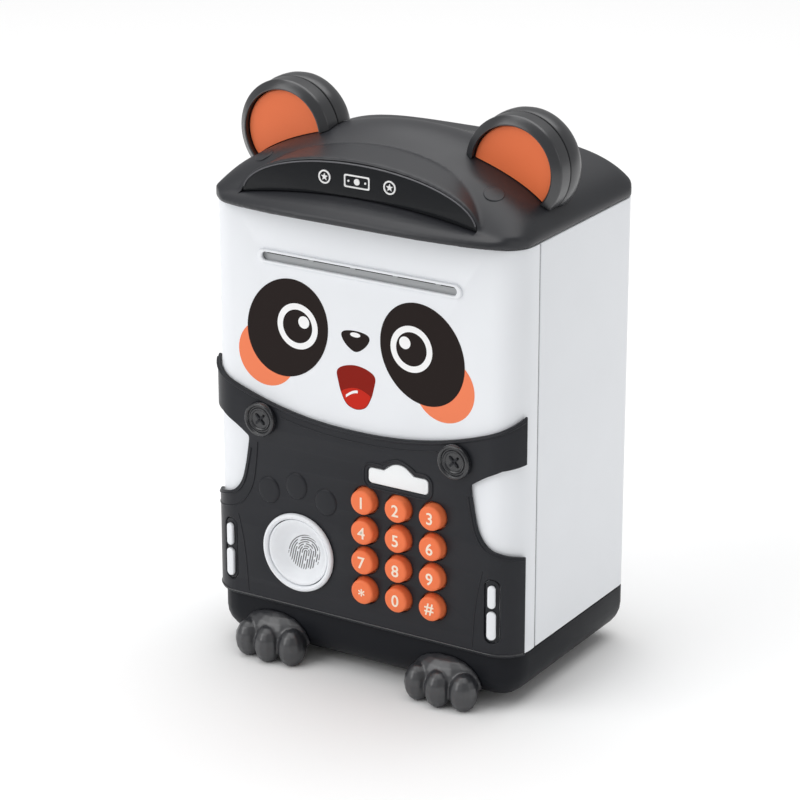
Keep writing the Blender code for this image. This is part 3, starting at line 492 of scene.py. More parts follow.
def wire(points: Sequence[Point3], radius: float, closed: bool = False) -> bmesh.types.BMesh:
    """Round bead along 3-D points, with closed ends."""
    curve = bpy.data.curves.new("wire", "CURVE")
    curve.dimensions = "3D"
    curve.bevel_depth, curve.bevel_resolution = radius, 2
    curve.use_fill_caps = True
    spline = curve.splines.new("POLY")
    spline.points.add(len(points) - 1)
    for point, place in zip(spline.points, points):
        point.co = (*place, 1.0)
    spline.use_cyclic_u = closed
    return bmesh_of(evaluated_mesh(helper_object("wire", curve)))


def lathe(profile: Sequence[Point2], base: Point3, outward: Point3 = (0, -1, 0), segments: int = 64,
          shift: Callable[[float, float], Point2] | None = None) -> bmesh.types.BMesh:
    """Turned shape.

    Args:
        profile: (radius, height) points; a radius of 0 at either end closes it.
        base: where the axis starts.
        outward: direction of the axis.
        segments: facets round the axis.
        shift: moves a ring sideways, from its radius and height.

    Returns:
        Closed geometry in millimetres.
    """
    bm = bmesh.new()
    rings = []
    for radius, height in profile:
        dx, dz = shift(radius, height) if shift else (0.0, 0.0)
        if radius == 0.0:
            rings.append([bm.verts.new((dx, dz, height))])
            continue
        rings.append([bm.verts.new((dx + radius * math.cos(2 * math.pi * i / segments),
                                    dz + radius * math.sin(2 * math.pi * i / segments), height))
                      for i in range(segments)])
    closed = len(rings[0]) > 1 and len(rings[-1]) > 1
    pairs = list(zip(rings, rings[1:])) + ([(rings[-1], rings[0])] if closed else [])
    for one, two in pairs:
        for i in range(segments):
            j = (i + 1) % segments
            corners = [one[i % len(one)], one[j % len(one)], two[j % len(two)], two[i % len(two)]]
            face = list(dict.fromkeys(corners))
            if len(face) > 2:
                bm.faces.new(face)
    turn = Vector(outward).to_track_quat("Z", "Y").to_matrix().to_4x4()
    bmesh.ops.transform(bm, matrix=Matrix.Translation(base) @ turn, verts=bm.verts)
    return bm


def merge(parts: Iterable[bmesh.types.BMesh]) -> bmesh.types.BMesh:
    """Put several bmeshes in one; they stay separate shells."""
    whole = bmesh.new()
    for part in parts:
        mesh = mesh_of(part)
        whole.from_mesh(mesh)
        bpy.data.meshes.remove(mesh)
    return whole


def refine(node: str, bevel: float = 0.25, angle: float = 35.0) -> bmesh.types.BMesh:
    """CAD node with its sharp edges rounded.

    Args:
        node: the CAD node.
        bevel: width of the rounding.
        angle: edges sharper than this are rounded, in degrees.

    Returns:
        Closed geometry in millimetres.
    """
    bm = cad_copy(node)
    bmesh.ops.dissolve_limit(bm, angle_limit=math.radians(1.0), verts=bm.verts, edges=bm.edges)
    helper = helper_object("refine", mesh_of(bm))
    rounding = helper.modifiers.new("edges", "BEVEL")
    rounding.width, rounding.segments = bevel, 3
    rounding.limit_method, rounding.angle_limit = "ANGLE", math.radians(angle)
    rounding.use_clamp_overlap = True
    return bmesh_of(evaluated_mesh(helper))


def remould(bm: bmesh.types.BMesh, voxel: float, rounds: int) -> bmesh.types.BMesh:
    """One skin over overlapping solids, softened like a moulding."""
    helper = helper_object("remould", mesh_of(bm))
    skin = helper.modifiers.new("skin", "REMESH")
    skin.mode, skin.voxel_size = "VOXEL", voxel
    soften = helper.modifiers.new("soften", "SMOOTH")
    soften.factor, soften.iterations = 0.5, rounds
    return bmesh_of(evaluated_mesh(helper))


def cut(bm: bmesh.types.BMesh, tool: bmesh.types.BMesh) -> bmesh.types.BMesh:
    """Take one closed shape out of another."""
    helper, knife = helper_object("cut", mesh_of(bm)), helper_object("knife", mesh_of(tool))
    boolean = helper.modifiers.new("cut", "BOOLEAN")
    boolean.operation, boolean.solver, boolean.object = "DIFFERENCE", "MANIFOLD", knife
    result = bmesh_of(evaluated_mesh(helper))
    bpy.data.objects.remove(knife)
    return result


# ------------------------------------------------------------------ repeated forms
def layout_tree(name: str, inputs: dict[str, str], kinds: dict[str, str],
                links: Iterable[tuple[str, str | int, str, str | int]]) -> bpy.types.NodeTree:
    """Geometry Nodes tree that lays a block on each of its points.

    Args:
        name: the tree's name.
        inputs: name and socket type of each size.
        kinds: name and type of the nodes that make the points.
        links: source, output, target and input of each link of these nodes.

    Returns:
        The tree, which gives one real mesh in one finish.
    """
    tree = bpy.data.node_groups.new(name, "GeometryNodeTree")
    sockets = {"Geometry": "NodeSocketGeometry", **inputs, "Finish": "NodeSocketMaterial"}
    for label, kind in sockets.items():
        tree.interface.new_socket(label, in_out="INPUT", socket_type=kind)
    tree.interface.new_socket("Geometry", in_out="OUTPUT", socket_type="NodeSocketGeometry")
    common = {"in": "NodeGroupInput", "block": "GeometryNodeMeshCube",
              "lay": "GeometryNodeInstanceOnPoints", "real": "GeometryNodeRealizeInstances",
              "dress": "GeometryNodeSetMaterial", "out": "NodeGroupOutput"}
    for label, kind in {**common, **kinds}.items():
        tree.nodes.new(kind).name = label
    for source, output, target, socket in (
            *links, ("block", "Mesh", "lay", "Instance"), ("lay", "Instances", "real", "Geometry"),
            ("real", "Geometry", "dress", "Geometry"), ("in", "Finish", "dress", "Material"),
            ("dress", "Geometry", "out", "Geometry")):
        tree.links.new(tree.nodes[source].outputs[output], tree.nodes[target].inputs[socket])
    return tree


def run_layout(tree: bpy.types.NodeTree, sizes: dict[str, object], finish: Finish) -> bmesh.types.BMesh:
    """Plain geometry in millimetres from a layout tree and its sizes."""
    helper = helper_object(tree.name, bpy.data.meshes.new(tree.name))
    lay = helper.modifiers.new("lay", "NODES")
    lay.node_group = tree
    given = {**sizes, "Finish": finish.material()}
    for item in tree.interface.items_tree:
        if item.in_out == "INPUT" and item.name in given:
            lay[item.identifier] = given[item.name]
    return bmesh_of(evaluated_mesh(helper))


@dataclass(frozen=True)
class BarRow:
    """Row of equal bars laid by a Geometry Nodes tree."""

    count: int
    first: Point3
    step: Point3
    bar: Point3

    def tree(self) -> bpy.types.NodeTree:
        """The tree: points in a line, a bar on each."""
        vector = "NodeSocketVector"
        return bpy.data.node_groups.get("bar_row") or layout_tree(
            "bar_row", {"Count": "NodeSocketInt", "First": vector, "Step": vector, "Bar": vector},
            {"line": "GeometryNodeMeshLine"},
            (("in", "Count", "line", "Count"), ("in", "First", "line", "Start Location"),
             ("in", "Step", "line", "Offset"), ("in", "Bar", "block", "Size"),
             ("line", "Mesh", "lay", "Points")))

    def build(self, finish: Finish) -> bmesh.types.BMesh:
        """The row as plain geometry in millimetres."""
        sizes = {"Count": self.count, "First": self.first, "Step": self.step, "Bar": self.bar}
        return run_layout(self.tree(), sizes, finish)


@dataclass(frozen=True)
class RibWheel:
    """Ribs set round an axis along X by a Geometry Nodes tree."""

    count: int
    radius: float
    rib: Point3

    def tree(self) -> bpy.types.NodeTree:
        """The tree: points round a circle, a rib on each."""
        known = bpy.data.node_groups.get("rib_wheel")
        if known:
            return known
        tree = layout_tree(
            "rib_wheel",
            {"Count": "NodeSocketInt", "Radius": "NodeSocketFloat", "Rib": "NodeSocketVector"},
            {"ring": "GeometryNodeMeshCircle", "index": "GeometryNodeInputIndex",
             "share": "ShaderNodeMath", "angle": "ShaderNodeMath", "turn": "ShaderNodeCombineXYZ"},
            (("in", "Count", "ring", "Vertices"), ("in", "Radius", "ring", "Radius"),
             ("in", "Rib", "block", "Size"), ("index", 0, "share", 0), ("in", "Count", "share", 1),
             ("share", 0, "angle", 0), ("angle", 0, "turn", "Z"), ("turn", 0, "lay", "Rotation"),
             ("ring", "Mesh", "lay", "Points")))
        tree.nodes["share"].operation, tree.nodes["angle"].operation = "DIVIDE", "MULTIPLY"
        tree.nodes["angle"].inputs[1].default_value = 2 * math.pi
        return tree

    def build(self, centre: Point3, finish: Finish) -> bmesh.types.BMesh:
        """The ribs as plain geometry in millimetres, round an axis along X."""
        sizes = {"Count": self.count, "Radius": self.radius, "Rib": self.rib}
        bm = run_layout(self.tree(), sizes, finish)
        turn = Matrix.Rotation(math.pi / 2, 4, "Y")
        bmesh.ops.transform(bm, matrix=Matrix.Translation(centre) @ turn, verts=bm.verts)
        return bm


# ------------------------------------------------------------------ the door
@dataclass
class DoorSkin:
    """The front of the door and the dungarees that wrap its corners."""

    corner_x: float = 58.0
    corner_y: float = -27.9
    turn_radius: float = 12.8

    def __post_init__(self) -> None:
        """Read the front faces from the frame."""
        self.face_y = box_mm("door_panel")[0].y
        self.suit_y = self.face_y - 1.8

    def lift(self, u: float, z: float, proud: float = 0.0) -> Point3:
        """Point on the dungarees, u along the front and round the corner."""
        beyond = abs(u) - self.corner_x
        if beyond <= 0:
            return (u, self.suit_y - proud, z)
        angle = beyond / self.turn_radius
        radius = self.corner_y - self.suit_y + proud
        return (math.copysign(self.corner_x + radius * math.sin(angle), u),
                self.corner_y - radius * math.cos(angle), z)

    def wrap(self, bm: bmesh.types.BMesh) -> None:
        """Bend flat geometry round both corners."""
        for sign in (-1, 1):
            for i in range(17):
                bmesh.ops.bisect_plane(bm, geom=bm.verts[:] + bm.edges[:] + bm.faces[:], dist=0.0005,
                                       plane_co=(sign * (self.corner_x + i), 0, 0), plane_no=(1, 0, 0))
        bmesh.ops.triangulate(bm, faces=bm.faces[:])
        for vert in bm.verts:
            vert.co = self.lift(vert.co.x, vert.co.z, self.suit_y - vert.co.y)


@dataclass
class Face:
    """Panda face printed on the door as thin layers of ink."""

    skin: DoorSkin
    middle: float = -2.2
    layer: float = 0.06
    patch_spread: float = 30.6
    patch_z: float = 140.8
    patch_lean: float = 0.11
    ring_spread: float = 25.85
    ring_z: float = 142.2
    cheek_spread: float = 40.4
    cheek_z: float = 128.6
    cheek_radius: float = 13.3

    def print_layer(self, name: str, loops: Sequence[Sequence[Point2]], level: int,
                    finish: Finish) -> None:
        """One printed shape; a higher level lies over a lower one."""
        back = self.skin.face_y + 0.02
        front = self.skin.face_y - self.layer * level
        finish_piece(name, front_plate(loops, front, back), finish, "door")

    def eye(self, side: Side) -> None:
        """Patch, cheek, ring, pupil and glint of one eye."""
        s = side.value
        patch = [(x - s * self.patch_lean * (z - self.patch_z), z) for x, z in
                 circle(self.middle + s * self.patch_spread, self.patch_z, 18.6, 20.2, 96)]
        cheek = circle(self.middle + s * self.cheek_spread, self.cheek_z, self.cheek_radius)
        self.print_layer(f"cheek_{side.word}", [cheek], 1, INK_ORANGE)
        self.print_layer(f"eye_patch_{side.word}", [patch], 2, INK_BLACK)
        cx = self.middle + s * self.ring_spread
        ring = [circle(cx, self.ring_z, 9.3), circle(cx, self.ring_z, 6.8)]
        self.print_layer(f"eye_ring_{side.word}", ring, 3, INK_WHITE)
        self.print_layer(f"eye_glint_{side.word}", [circle(cx - s * 2.9, 144.3, 2.5)], 3, INK_WHITE)

    def nose(self) -> None:
        """Rounded triangle with a glint."""
        shape = smooth_run([(-6.4, 142.3), (-5.0, 144.3), (0.0, 145.0), (5.0, 144.3), (6.4, 142.3),
                            (4.2, 138.8), (0.0, 136.5), (-4.2, 138.8)], 8, True)
        self.print_layer("nose", [[(self.middle + 0.6 + x, z) for x, z in shape]], 1, INK_BLACK)
        self.print_layer("nose_glint", [circle(self.middle + 0.6, 143.4, 2.3, 0.95)], 2, INK_WHITE)

    def mouth(self) -> None:
        """Open smile with tongue and a small glint."""
        cx = self.middle + 0.8
        shape = smooth_run([(0.0, 131.0), (5.6, 129.9), (8.7, 127.4), (8.0, 122.6), (6.6, 118.2),
                            (4.2, 114.4), (0.0, 113.0), (-4.2, 114.4), (-6.6, 118.2), (-8.0, 122.6),
                            (-8.7, 127.4), (-5.6, 129.9)], 8, True)
        self.print_layer("mouth", [[(cx + x, z) for x, z in shape]], 1, INK_RED)
        lower = [(0.96 * x, 113.3 + 0.97 * (z - 113.0)) for x, z in shape if z < 119.6]
        left, right = min(lower)[0], max(lower)[0]
        top = [(left + (right - left) * i / 12, 119.6 + 2.2 * math.sin(math.pi * i / 12))
               for i in range(1, 12)]
        self.print_layer("tongue", [[(cx + x, z) for x, z in lower + top]], 2, INK_TONGUE)
        bow = [(-4.6 + 5.4 * t, 117.8 + 2.6 * math.sin(t * math.pi / 2))
               for t in (i / 8 for i in range(9))]
        stroke = [(x, z + 0.55) for x, z in bow] + [(x, z - 0.55) for x, z in reversed(bow)]
        self.print_layer("tongue_glint", [[(cx + x, z) for x, z in stroke]], 3, INK_WHITE)

    def build(self) -> None:
        """Print the whole face."""
        for side in Side:
            self.eye(side)
        self.nose()
        self.mouth()


@dataclass
class DoorShell:
    """White front of the door with its note slot."""

    skin: DoorSkin
    slot_z: float = 168.6
    slot_half: float = 45.3

    def build(self) -> None:
        """Panel, slot surround, recess and the feed lips in it."""
        finish_piece("door_front", refine("door_panel", 0.5), WHITE, "door", ["door_panel"])
        y = self.skin.face_y
        lip = front_plate([stadium(0, self.slot_z, self.slot_half + 0.6, 2.8),
                           stadium(0, self.slot_z, self.slot_half - 1.4, 1.75)], y - 1.0, y + 0.5, 0.38)
        finish_piece("slot_lip", lip, WHITE, "door", ["note_slot_bezel"])
        tray = front_plate([stadium(0, self.slot_z, self.slot_half - 1.1, 2.0)], y + 0.9, y + 1.6)
        finish_piece("slot_recess", tray, RECESS_GREY, "door")
        # Thin dark strip along the top of the recess: painted shade in the slot's narrow mouth.
        mouth = front_plate([stadium(0, self.slot_z + 1.25, self.slot_half - 3.0, 0.36)], y + 0.75, y + 1.2)
        finish_piece("slot_mouth_shade", mouth, SHADOW, "door")
        lips = BarRow(4, (-22.0, y + 0.7, self.slot_z + 0.9), (19.0, 0.0, 0.0), (2.2, 0.3, 0.9))
        finish_piece("slot_feed_lips", lips.build(RECESS_GREY), RECESS_GREY, "door")


@dataclass
class Suit:
    """Charcoal dungarees moulding with bands, seams and buttons."""

    skin: DoorSkin
    reach: float = 73.6
    bottom: float = 23.5
    hem: float = 0.4
    key_hole: float = 5.85
    dish_hole: float = 15.4
    pocket_x: float = 60.5
    pocket_z: float = 42.6

    def band_top(self, u: float) -> float:
        """Height of the waistband's top edge."""
        return 104.4 + 17.1 * abs(u / self.reach) ** 2.2

    def outline(self) -> list[Point2]:
        """Waistband, bib and the lower panel, as unrolled points."""
        band = [(u, self.band_top(u)) for u in (self.reach * (1 - i / 24) for i in range(49))]
        side = ([(self.reach, 102.4)]
                + smooth_run([(64.0, 100.6), (57.5, 97.2), (52.6, 94.0), (51.0, 92.4), (51.3, 89.0)], 5)
                + smooth_run([(52.4, 82.0), (54.6, 73.8), (58.6, 68.6), (65.0, 66.2),
                              (self.reach, 64.4)], 5) + [(self.reach, self.bottom)])
        return band[::-1] + side + [(-u, z) for u, z in side][::-1]

    def cloud(self, grow: float = 0.0) -> list[Point2]:
        """Window over the keys: a low bar with a round hump."""
        low, high, left, right, r = 84.7 - grow, 91.0 + grow, 5.0 - grow, 32.0 + grow, 1.7 + grow
        loop = []
        loop += corner_arc(right - r, low + r, r, -90) + corner_arc(right - r, high - r, r, 0)
        hump = [(25.6 + 0.5 * grow, high), (23.9 + 0.6 * grow, high + 1.3), (21.6, high + 2.9),
                (18.8, high + 3.5), (16.0, high + 2.9), (13.7 - 0.6 * grow, high + 1.3),
                (12.0 - 0.5 * grow, high)]
        loop += smooth_run(hump, 5)
        return loop + corner_arc(left + r, high - r, r, 90) + corner_arc(left + r, low + r, r, 180)

    def panel(self) -> None:
        """The moulding itself, with holes for everything that shows through."""
        loops = [self.outline(), self.cloud(0.35)]
        for name in KEY_NODES:
            key = centre_mm(name)
            loops.append(circle(key.x, key.z, self.key_hole, None, 40))
        dish = centre_mm("fingerprint_bezel")
        loops.append(circle(dish.x, dish.z, self.dish_hole, None, 72))
        for side in Side:
            loops.append(stadium(side.value * self.pocket_x, self.pocket_z, 13.4, 3.1, 90))
        y = self.skin.suit_y
        plate = front_plate(loops, y, y + 1.5, self.hem)
        self.skin.wrap(plate)
        finish_piece("dungarees", plate, CHARCOAL, "door", ["suit_panel"], 50)

    def bead(self, name: str, path: Sequence[Point2], radius: float, proud: float = 0.0,
             closed: bool = False, finish: Finish = CHARCOAL) -> None:
        """Raised bead that follows the moulding's surface."""
        fine = []
        for (u0, z0), (u1, z1) in zip(path, path[1:] + (path[:1] if closed else [])):
            steps = max(1, int(math.hypot(u1 - u0, z1 - z0) / 1.2))
            fine += [(u0 + (u1 - u0) * i / steps, z0 + (z1 - z0) * i / steps) for i in range(steps)]
        fine += [] if closed else [path[-1]]
        finish_piece(name, wire([self.skin.lift(u, z, proud) for u, z in fine], radius, closed),
                     finish, "door", (), 60)

    def seams(self) -> None:
        """Waistband lip, crease, bib bands and pocket seams."""
        end = self.reach - 1.0
        band = [(u, self.band_top(u) - 0.9) for u in (-end + 2 * end * i / 48 for i in range(49))]
        self.bead("waistband_lip", band, 0.55, 0.0, False)
        crease = [(u, self.band_top(u) - 4.2) for u in (-36 + 72 * i / 24 for i in range(25))]
        self.bead("waistband_crease", crease, 0.28)
        for side in Side:
            s = side.value
            edge = smooth_run([(50.0, 88.0), (51.2, 81.6), (53.4, 73.2), (57.6, 67.6), (64.6, 65.1),
                               (72.4, 63.4)], 4)
            self.bead(f"bib_lip_{side.word}", [(s * u, z) for u, z in edge], 0.4)
            seam = smooth_run([(46.8, 91.0), (47.6, 82.0), (49.6, 72.0), (55.2, 63.6), (63.6, 60.4),
                               (72.4, 59.2)], 4)
            if side is Side.LEFT:
                self.bead("bib_seam_left", [(s * u, z) for u, z in seam], 0.3)
            pocket = smooth_run([(56.6, 58.6), (54.6, 50.0), (53.2, 40.0), (52.2, 26.0)], 4)
            self.bead(f"pocket_seam_{side.word}", [(s * u, z) for u, z in pocket], 0.26, -0.05)
        self.bead("cloud_ridge", self.cloud(2.0), 0.42, 0.0, True)
        hem = [(-end + 2 * end * i / 40, self.bottom + 1.1) for i in range(41)]
        self.bead("hem_lip", hem, 0.35, 0.0, False, BLACK_GLOSS)

    def toes(self) -> None:
        """Three low toe pads over the finger dish."""
        for number, (x, z) in enumerate(((-41.4, 72.0), (-28.4, 76.2), (-14.6, 72.2)), start=1):
            profile = [(0.0, 0.62), (3.9, 0.62), (4.5, 0.52), (4.9, 0.25), (5.05, -0.1), (0.0, -0.1)]
            pad = lathe(profile, (x, self.skin.suit_y, z), segments=48)
            bmesh.ops.scale(pad, vec=(1, 1, 1.12), verts=pad.verts,
                            space=Matrix.Translation((-x, 0, -z)))
            finish_piece(f"toe_pad_{number}", pad, CHARCOAL, "door")

    def belt_button(self, side: Side) -> None:
        """Sewn-on button: rim, dished face, ring and crossed thread."""
        centre = centre_mm(f"belt_button_{side.word}")
        low, high = box_mm(f"belt_button_{side.word}")
        base, rise = high.y, high.y - low.y
        profile = [(0.0, rise * 0.42), (3.7, rise * 0.42), (4.0, rise * 0.62), (4.5, rise * 0.66),
                   (4.9, rise * 0.50), (5.3, rise * 0.52), (5.7, rise * 0.92), (6.1, rise),
                   (6.6, rise * 0.94), (6.95, rise * 0.7), (7.1, 0.3), (7.1, 0.0), (0.0, 0.0)]
        button = lathe(profile, (centre.x, base, centre.z), segments=72)
        finish_piece(f"button_{side.word}", button, BLACK_GLOSS, "door",
                     [f"belt_button_{side.word}"], 50)
        y = base - rise * 0.42
        thread = []
        for turn in (45, -45):
            bar = stadium(centre.x, centre.z, 2.5, 0.5, turn)
            thread.append(front_plate([bar], y - 0.62, y + 0.1, 0.2))
        finish_piece(f"button_thread_{side.word}", merge(thread), CHARCOAL, "door")
        # Four dark discs painted as the shade inside the thread holes; no holes are cut.
        holes = [front_plate([circle(centre.x + 2.4 * math.cos(math.radians(a)),
                                     centre.z + 2.4 * math.sin(math.radians(a)), 0.55, None, 16)],
                             y - 0.04, y + 0.1) for a in (45, 135, 225, 315)]
        finish_piece(f"button_holes_{side.word}", merge(holes), SHADOW, "door")

    def pocket(self, side: Side) -> None:
        """Dark pocket slot with two raised white bars."""
        x, y = side.value * self.pocket_x, self.skin.suit_y
        plate = front_plate([stadium(x, self.pocket_z, 13.1, 2.8, 90)], y + 0.45, y + 1.2, 0.25)
        self.skin.wrap(plate)
        finish_piece(f"pocket_floor_{side.word}", plate, CHARCOAL, "door", (), 50)
        bars = merge([front_plate([stadium(x, self.pocket_z + (low + high) / 2, (high - low) / 2,
                                           half, 90)], y - 1.0, y + 0.7, 0.55)
                      for low, high, half in ((1.6, 11.0, 1.45), (-11.6, 0.2, 1.7))])
        self.skin.wrap(bars)
        finish_piece(f"pocket_bars_{side.word}", bars, WHITE, "door", [f"pocket_trim_{side.word}"], 50)

    def build(self) -> None:
        """The moulding and everything on it."""
        self.panel()
        self.seams()
        self.toes()
        y = self.skin.suit_y
        finish_piece("cloud_window", front_plate([self.cloud()], y + 0.3, y + 1.3, 0.3), LENS, "door",
                     ["cloud_lens"])
        for side in Side:
            self.belt_button(side)
            self.pocket(side)


KEY_NODES = [f"key_{label}" for label in (*range(1, 10), "star", 0, "hash")]


@dataclass
class Keypad:
    """Twelve crowned keys with printed characters."""

    skin: DoorSkin
    character_height: float = 5.0

    def key(self, node: str) -> None:
        """One key: cap, flange and stem."""
        centre, (low, high) = centre_mm(node), box_mm(node)
        rise = self.skin.suit_y - low.y
        profile = [(0.0, rise), (3.6, rise - 0.03), (4.3, rise - 0.12), (4.7, rise - 0.32),
                   (4.95, rise - 0.65), (5.05, rise - 1.1), (5.3, 0.2), (5.35, -1.8), (6.0, -1.9),
                   (6.0, -2.8), (3.0, -2.9), (3.0, -3.6), (0.0, -3.6)]
        cap = lathe(profile, (centre.x, self.skin.suit_y, centre.z), segments=64)
        finish_piece(node + "_cap", cap, ORANGE, node, [node], 50)

    def character(self, node: str) -> None:
        """Printed character on a key's face."""
        label = {"star": "*", "hash": "#"}.get(node[4:], node[4:])
        centre, (low, _) = centre_mm(node), box_mm(node)
        text = bpy.data.curves.new("character", "FONT")
        text.body, text.align_x, text.align_y = label, "CENTER", "CENTER"
        text.size, text.offset, text.extrude = self.character_height * 1.36, 0.09, 0.12
        bm = bmesh_of(evaluated_mesh(helper_object("character", text)))
        xs, zs = [v.co.x for v in bm.verts], [v.co.y for v in bm.verts]
        middle = Matrix.Translation((-(min(xs) + max(xs)) / 2, -(min(zs) + max(zs)) / 2, 0))
        upright = Matrix(((1, 0, 0, centre.x), (0, 0, -1, low.y + 0.09), (0, 1, 0, centre.z), (0, 0, 0, 1)))
        bmesh.ops.transform(bm, matrix=upright @ middle, verts=bm.verts)
        finish_piece(node + "_print", bm, INK_CREAM, node)

    def build(self) -> None:
        """All keys."""
        for node in KEY_NODES:
            self.key(node)
            self.character(node)


@dataclass
class FingerButton:
    """White dish with a ridge pattern, in its fixed ring."""

    skin: DoorSkin
    lean: Point2 = (1.5, -1.7)
    ridge_pitch: float = 1.02
    ridge_count: int = 8

    def ridges(self, cx: float, cz: float, y: float) -> bmesh.types.BMesh:
        """Nested arches with legs, broken here and there."""
        chance = random.Random(7)
        parts = []
        outer = self.ridge_pitch * self.ridge_count
        for k in range(self.ridge_count):
            r = 0.55 + self.ridge_pitch * k
            leg = math.sqrt(max(outer ** 2 - r ** 2, 0.0)) * 0.95
            path = [(-r, -leg * (1 - i / 10)) for i in range(10)]
            path += [(-r * math.cos(math.pi * i / 20), r * 0.94 * math.sin(math.pi * i / 20))
                     for i in range(21)]
            path += [(r, -leg * i / 10) for i in range(1, 11)]
            placed = [(cx + x + 0.22 * z, y, cz + z) for x, z in path]
            start = 0
            while start < len(placed) - 3:
                length = chance.randint(7, 16)
                stretch = placed[start:start + length]
                if len(stretch) > 2:
                    parts.append(wire(stretch, 0.19))
                start += length + 1
        return merge(parts)

    def build(self) -> None:
        """Ring, dish and ridges."""
        centre = centre_mm("fingerprint_bezel")
        ring = [(14.6, 1.6), (14.9, 1.8), (15.3, 1.9), (15.55, 1.72), (15.75, 1.72), (16.0, 1.6),
                (16.3, 1.2), (16.4, 0.7), (16.4, 0.3), (15.0, 0.3), (15.0, -4.6), (14.2, -4.6),
                (14.2, 1.2), (14.35, 1.45)]
        base = (centre.x, self.skin.suit_y, centre.z)
        finish_piece("finger_ring", lathe(ring, base, segments=96), WHITE, "door",
                     ["fingerprint_bezel"])
        dish = [(0.0, -3.0), (6.8, -2.98), (7.9, -2.75), (9.0, -2.1), (11.2, -0.5), (12.8, 0.7),
                (13.4, 0.9), (13.75, 0.8), (13.8, 0.4), (13.8, -3.4), (12.6, -3.6), (0.0, -3.7)]

        def lean(radius: float, height: float) -> Point2:
            """The floor sits off the middle, the rim does not."""
            share = max(0.0, 1.0 - radius / 12.9) if height > -3.0 else 0.0
            return self.lean[0] * share, self.lean[1] * share

        finish_piece("finger_dish", lathe(dish, base, segments=96, shift=lean), WHITE, "finger_button",
                     ["fingerprint_pad"], 60)
        finish_piece("finger_ridges", self.ridges(centre.x + 1.2, centre.z - 0.6, self.skin.suit_y + 2.94),
                     INK_GREY, "finger_button")


@dataclass
class DoorWorks:
    """Rear cover, feed, lock and board of the door."""

    roller_length: float = 76.0

    def build(self) -> None:
        """Every piece behind the front."""
        finish_piece("rear_cover", refine("door_inner_cover", 0.3), WHITE, "door", ["door_inner_cover"])
        for node, finish in (("feed_motor", STEEL), ("lock_solenoid", GREY)):
            finish_piece(node + "_case", refine(node, 0.3), finish, "door", [node])
        finish_piece("bolt", refine("lock_bolt", 0.35), STEEL, "lock", ["lock_bolt"])
        finish_piece("board", refine("control_board", 0.1), BOARD, "door", ["control_board"])
        for number in (1, 2):
            screw_piece(f"cover_screw_{number}", (0, 1, 0), "door")
        centre = centre_mm("feed_roller")
        ribs = RibWheel(28, 6.15, (0.5, 0.9, self.roller_length))
        finish_piece("roller_ribs", ribs.build(tuple(centre), RUBBER), RUBBER, "roller")


def screw_piece(node: str, outward: Point3, body: str) -> None:
    """Pan-head screw with a crossed recess in place of a CAD screw."""
    (low, high), centre = box_mm(node), centre_mm(node)
    axis = Vector(outward)
    top = centre + axis * ((high - low).dot(Vector(abs(a) for a in axis)) / 2)
    head = [(0.0, 0.0), (1.6, -0.08), (2.2, -0.35), (2.5, -0.8), (2.5, -1.4), (1.1, -1.5),
            (1.1, -5.4), (0.0, -5.9)]
    screw = lathe(head, tuple(top), outward, 40)
    turn = axis.to_track_quat("Z", "Y").to_matrix().to_4x4()
    for width, length in ((0.5, 2.6), (2.6, 0.5)):
        slot = bmesh.new()
        bmesh.ops.create_cube(slot, size=1.0)
        bmesh.ops.scale(slot, vec=(width, length, 1.8), verts=slot.verts)
        bmesh.ops.transform(slot, matrix=Matrix.Translation(top) @ turn, verts=slot.verts)
        screw = cut(screw, slot)
    finish_piece(node + "_head", screw, STEEL, body, [node])


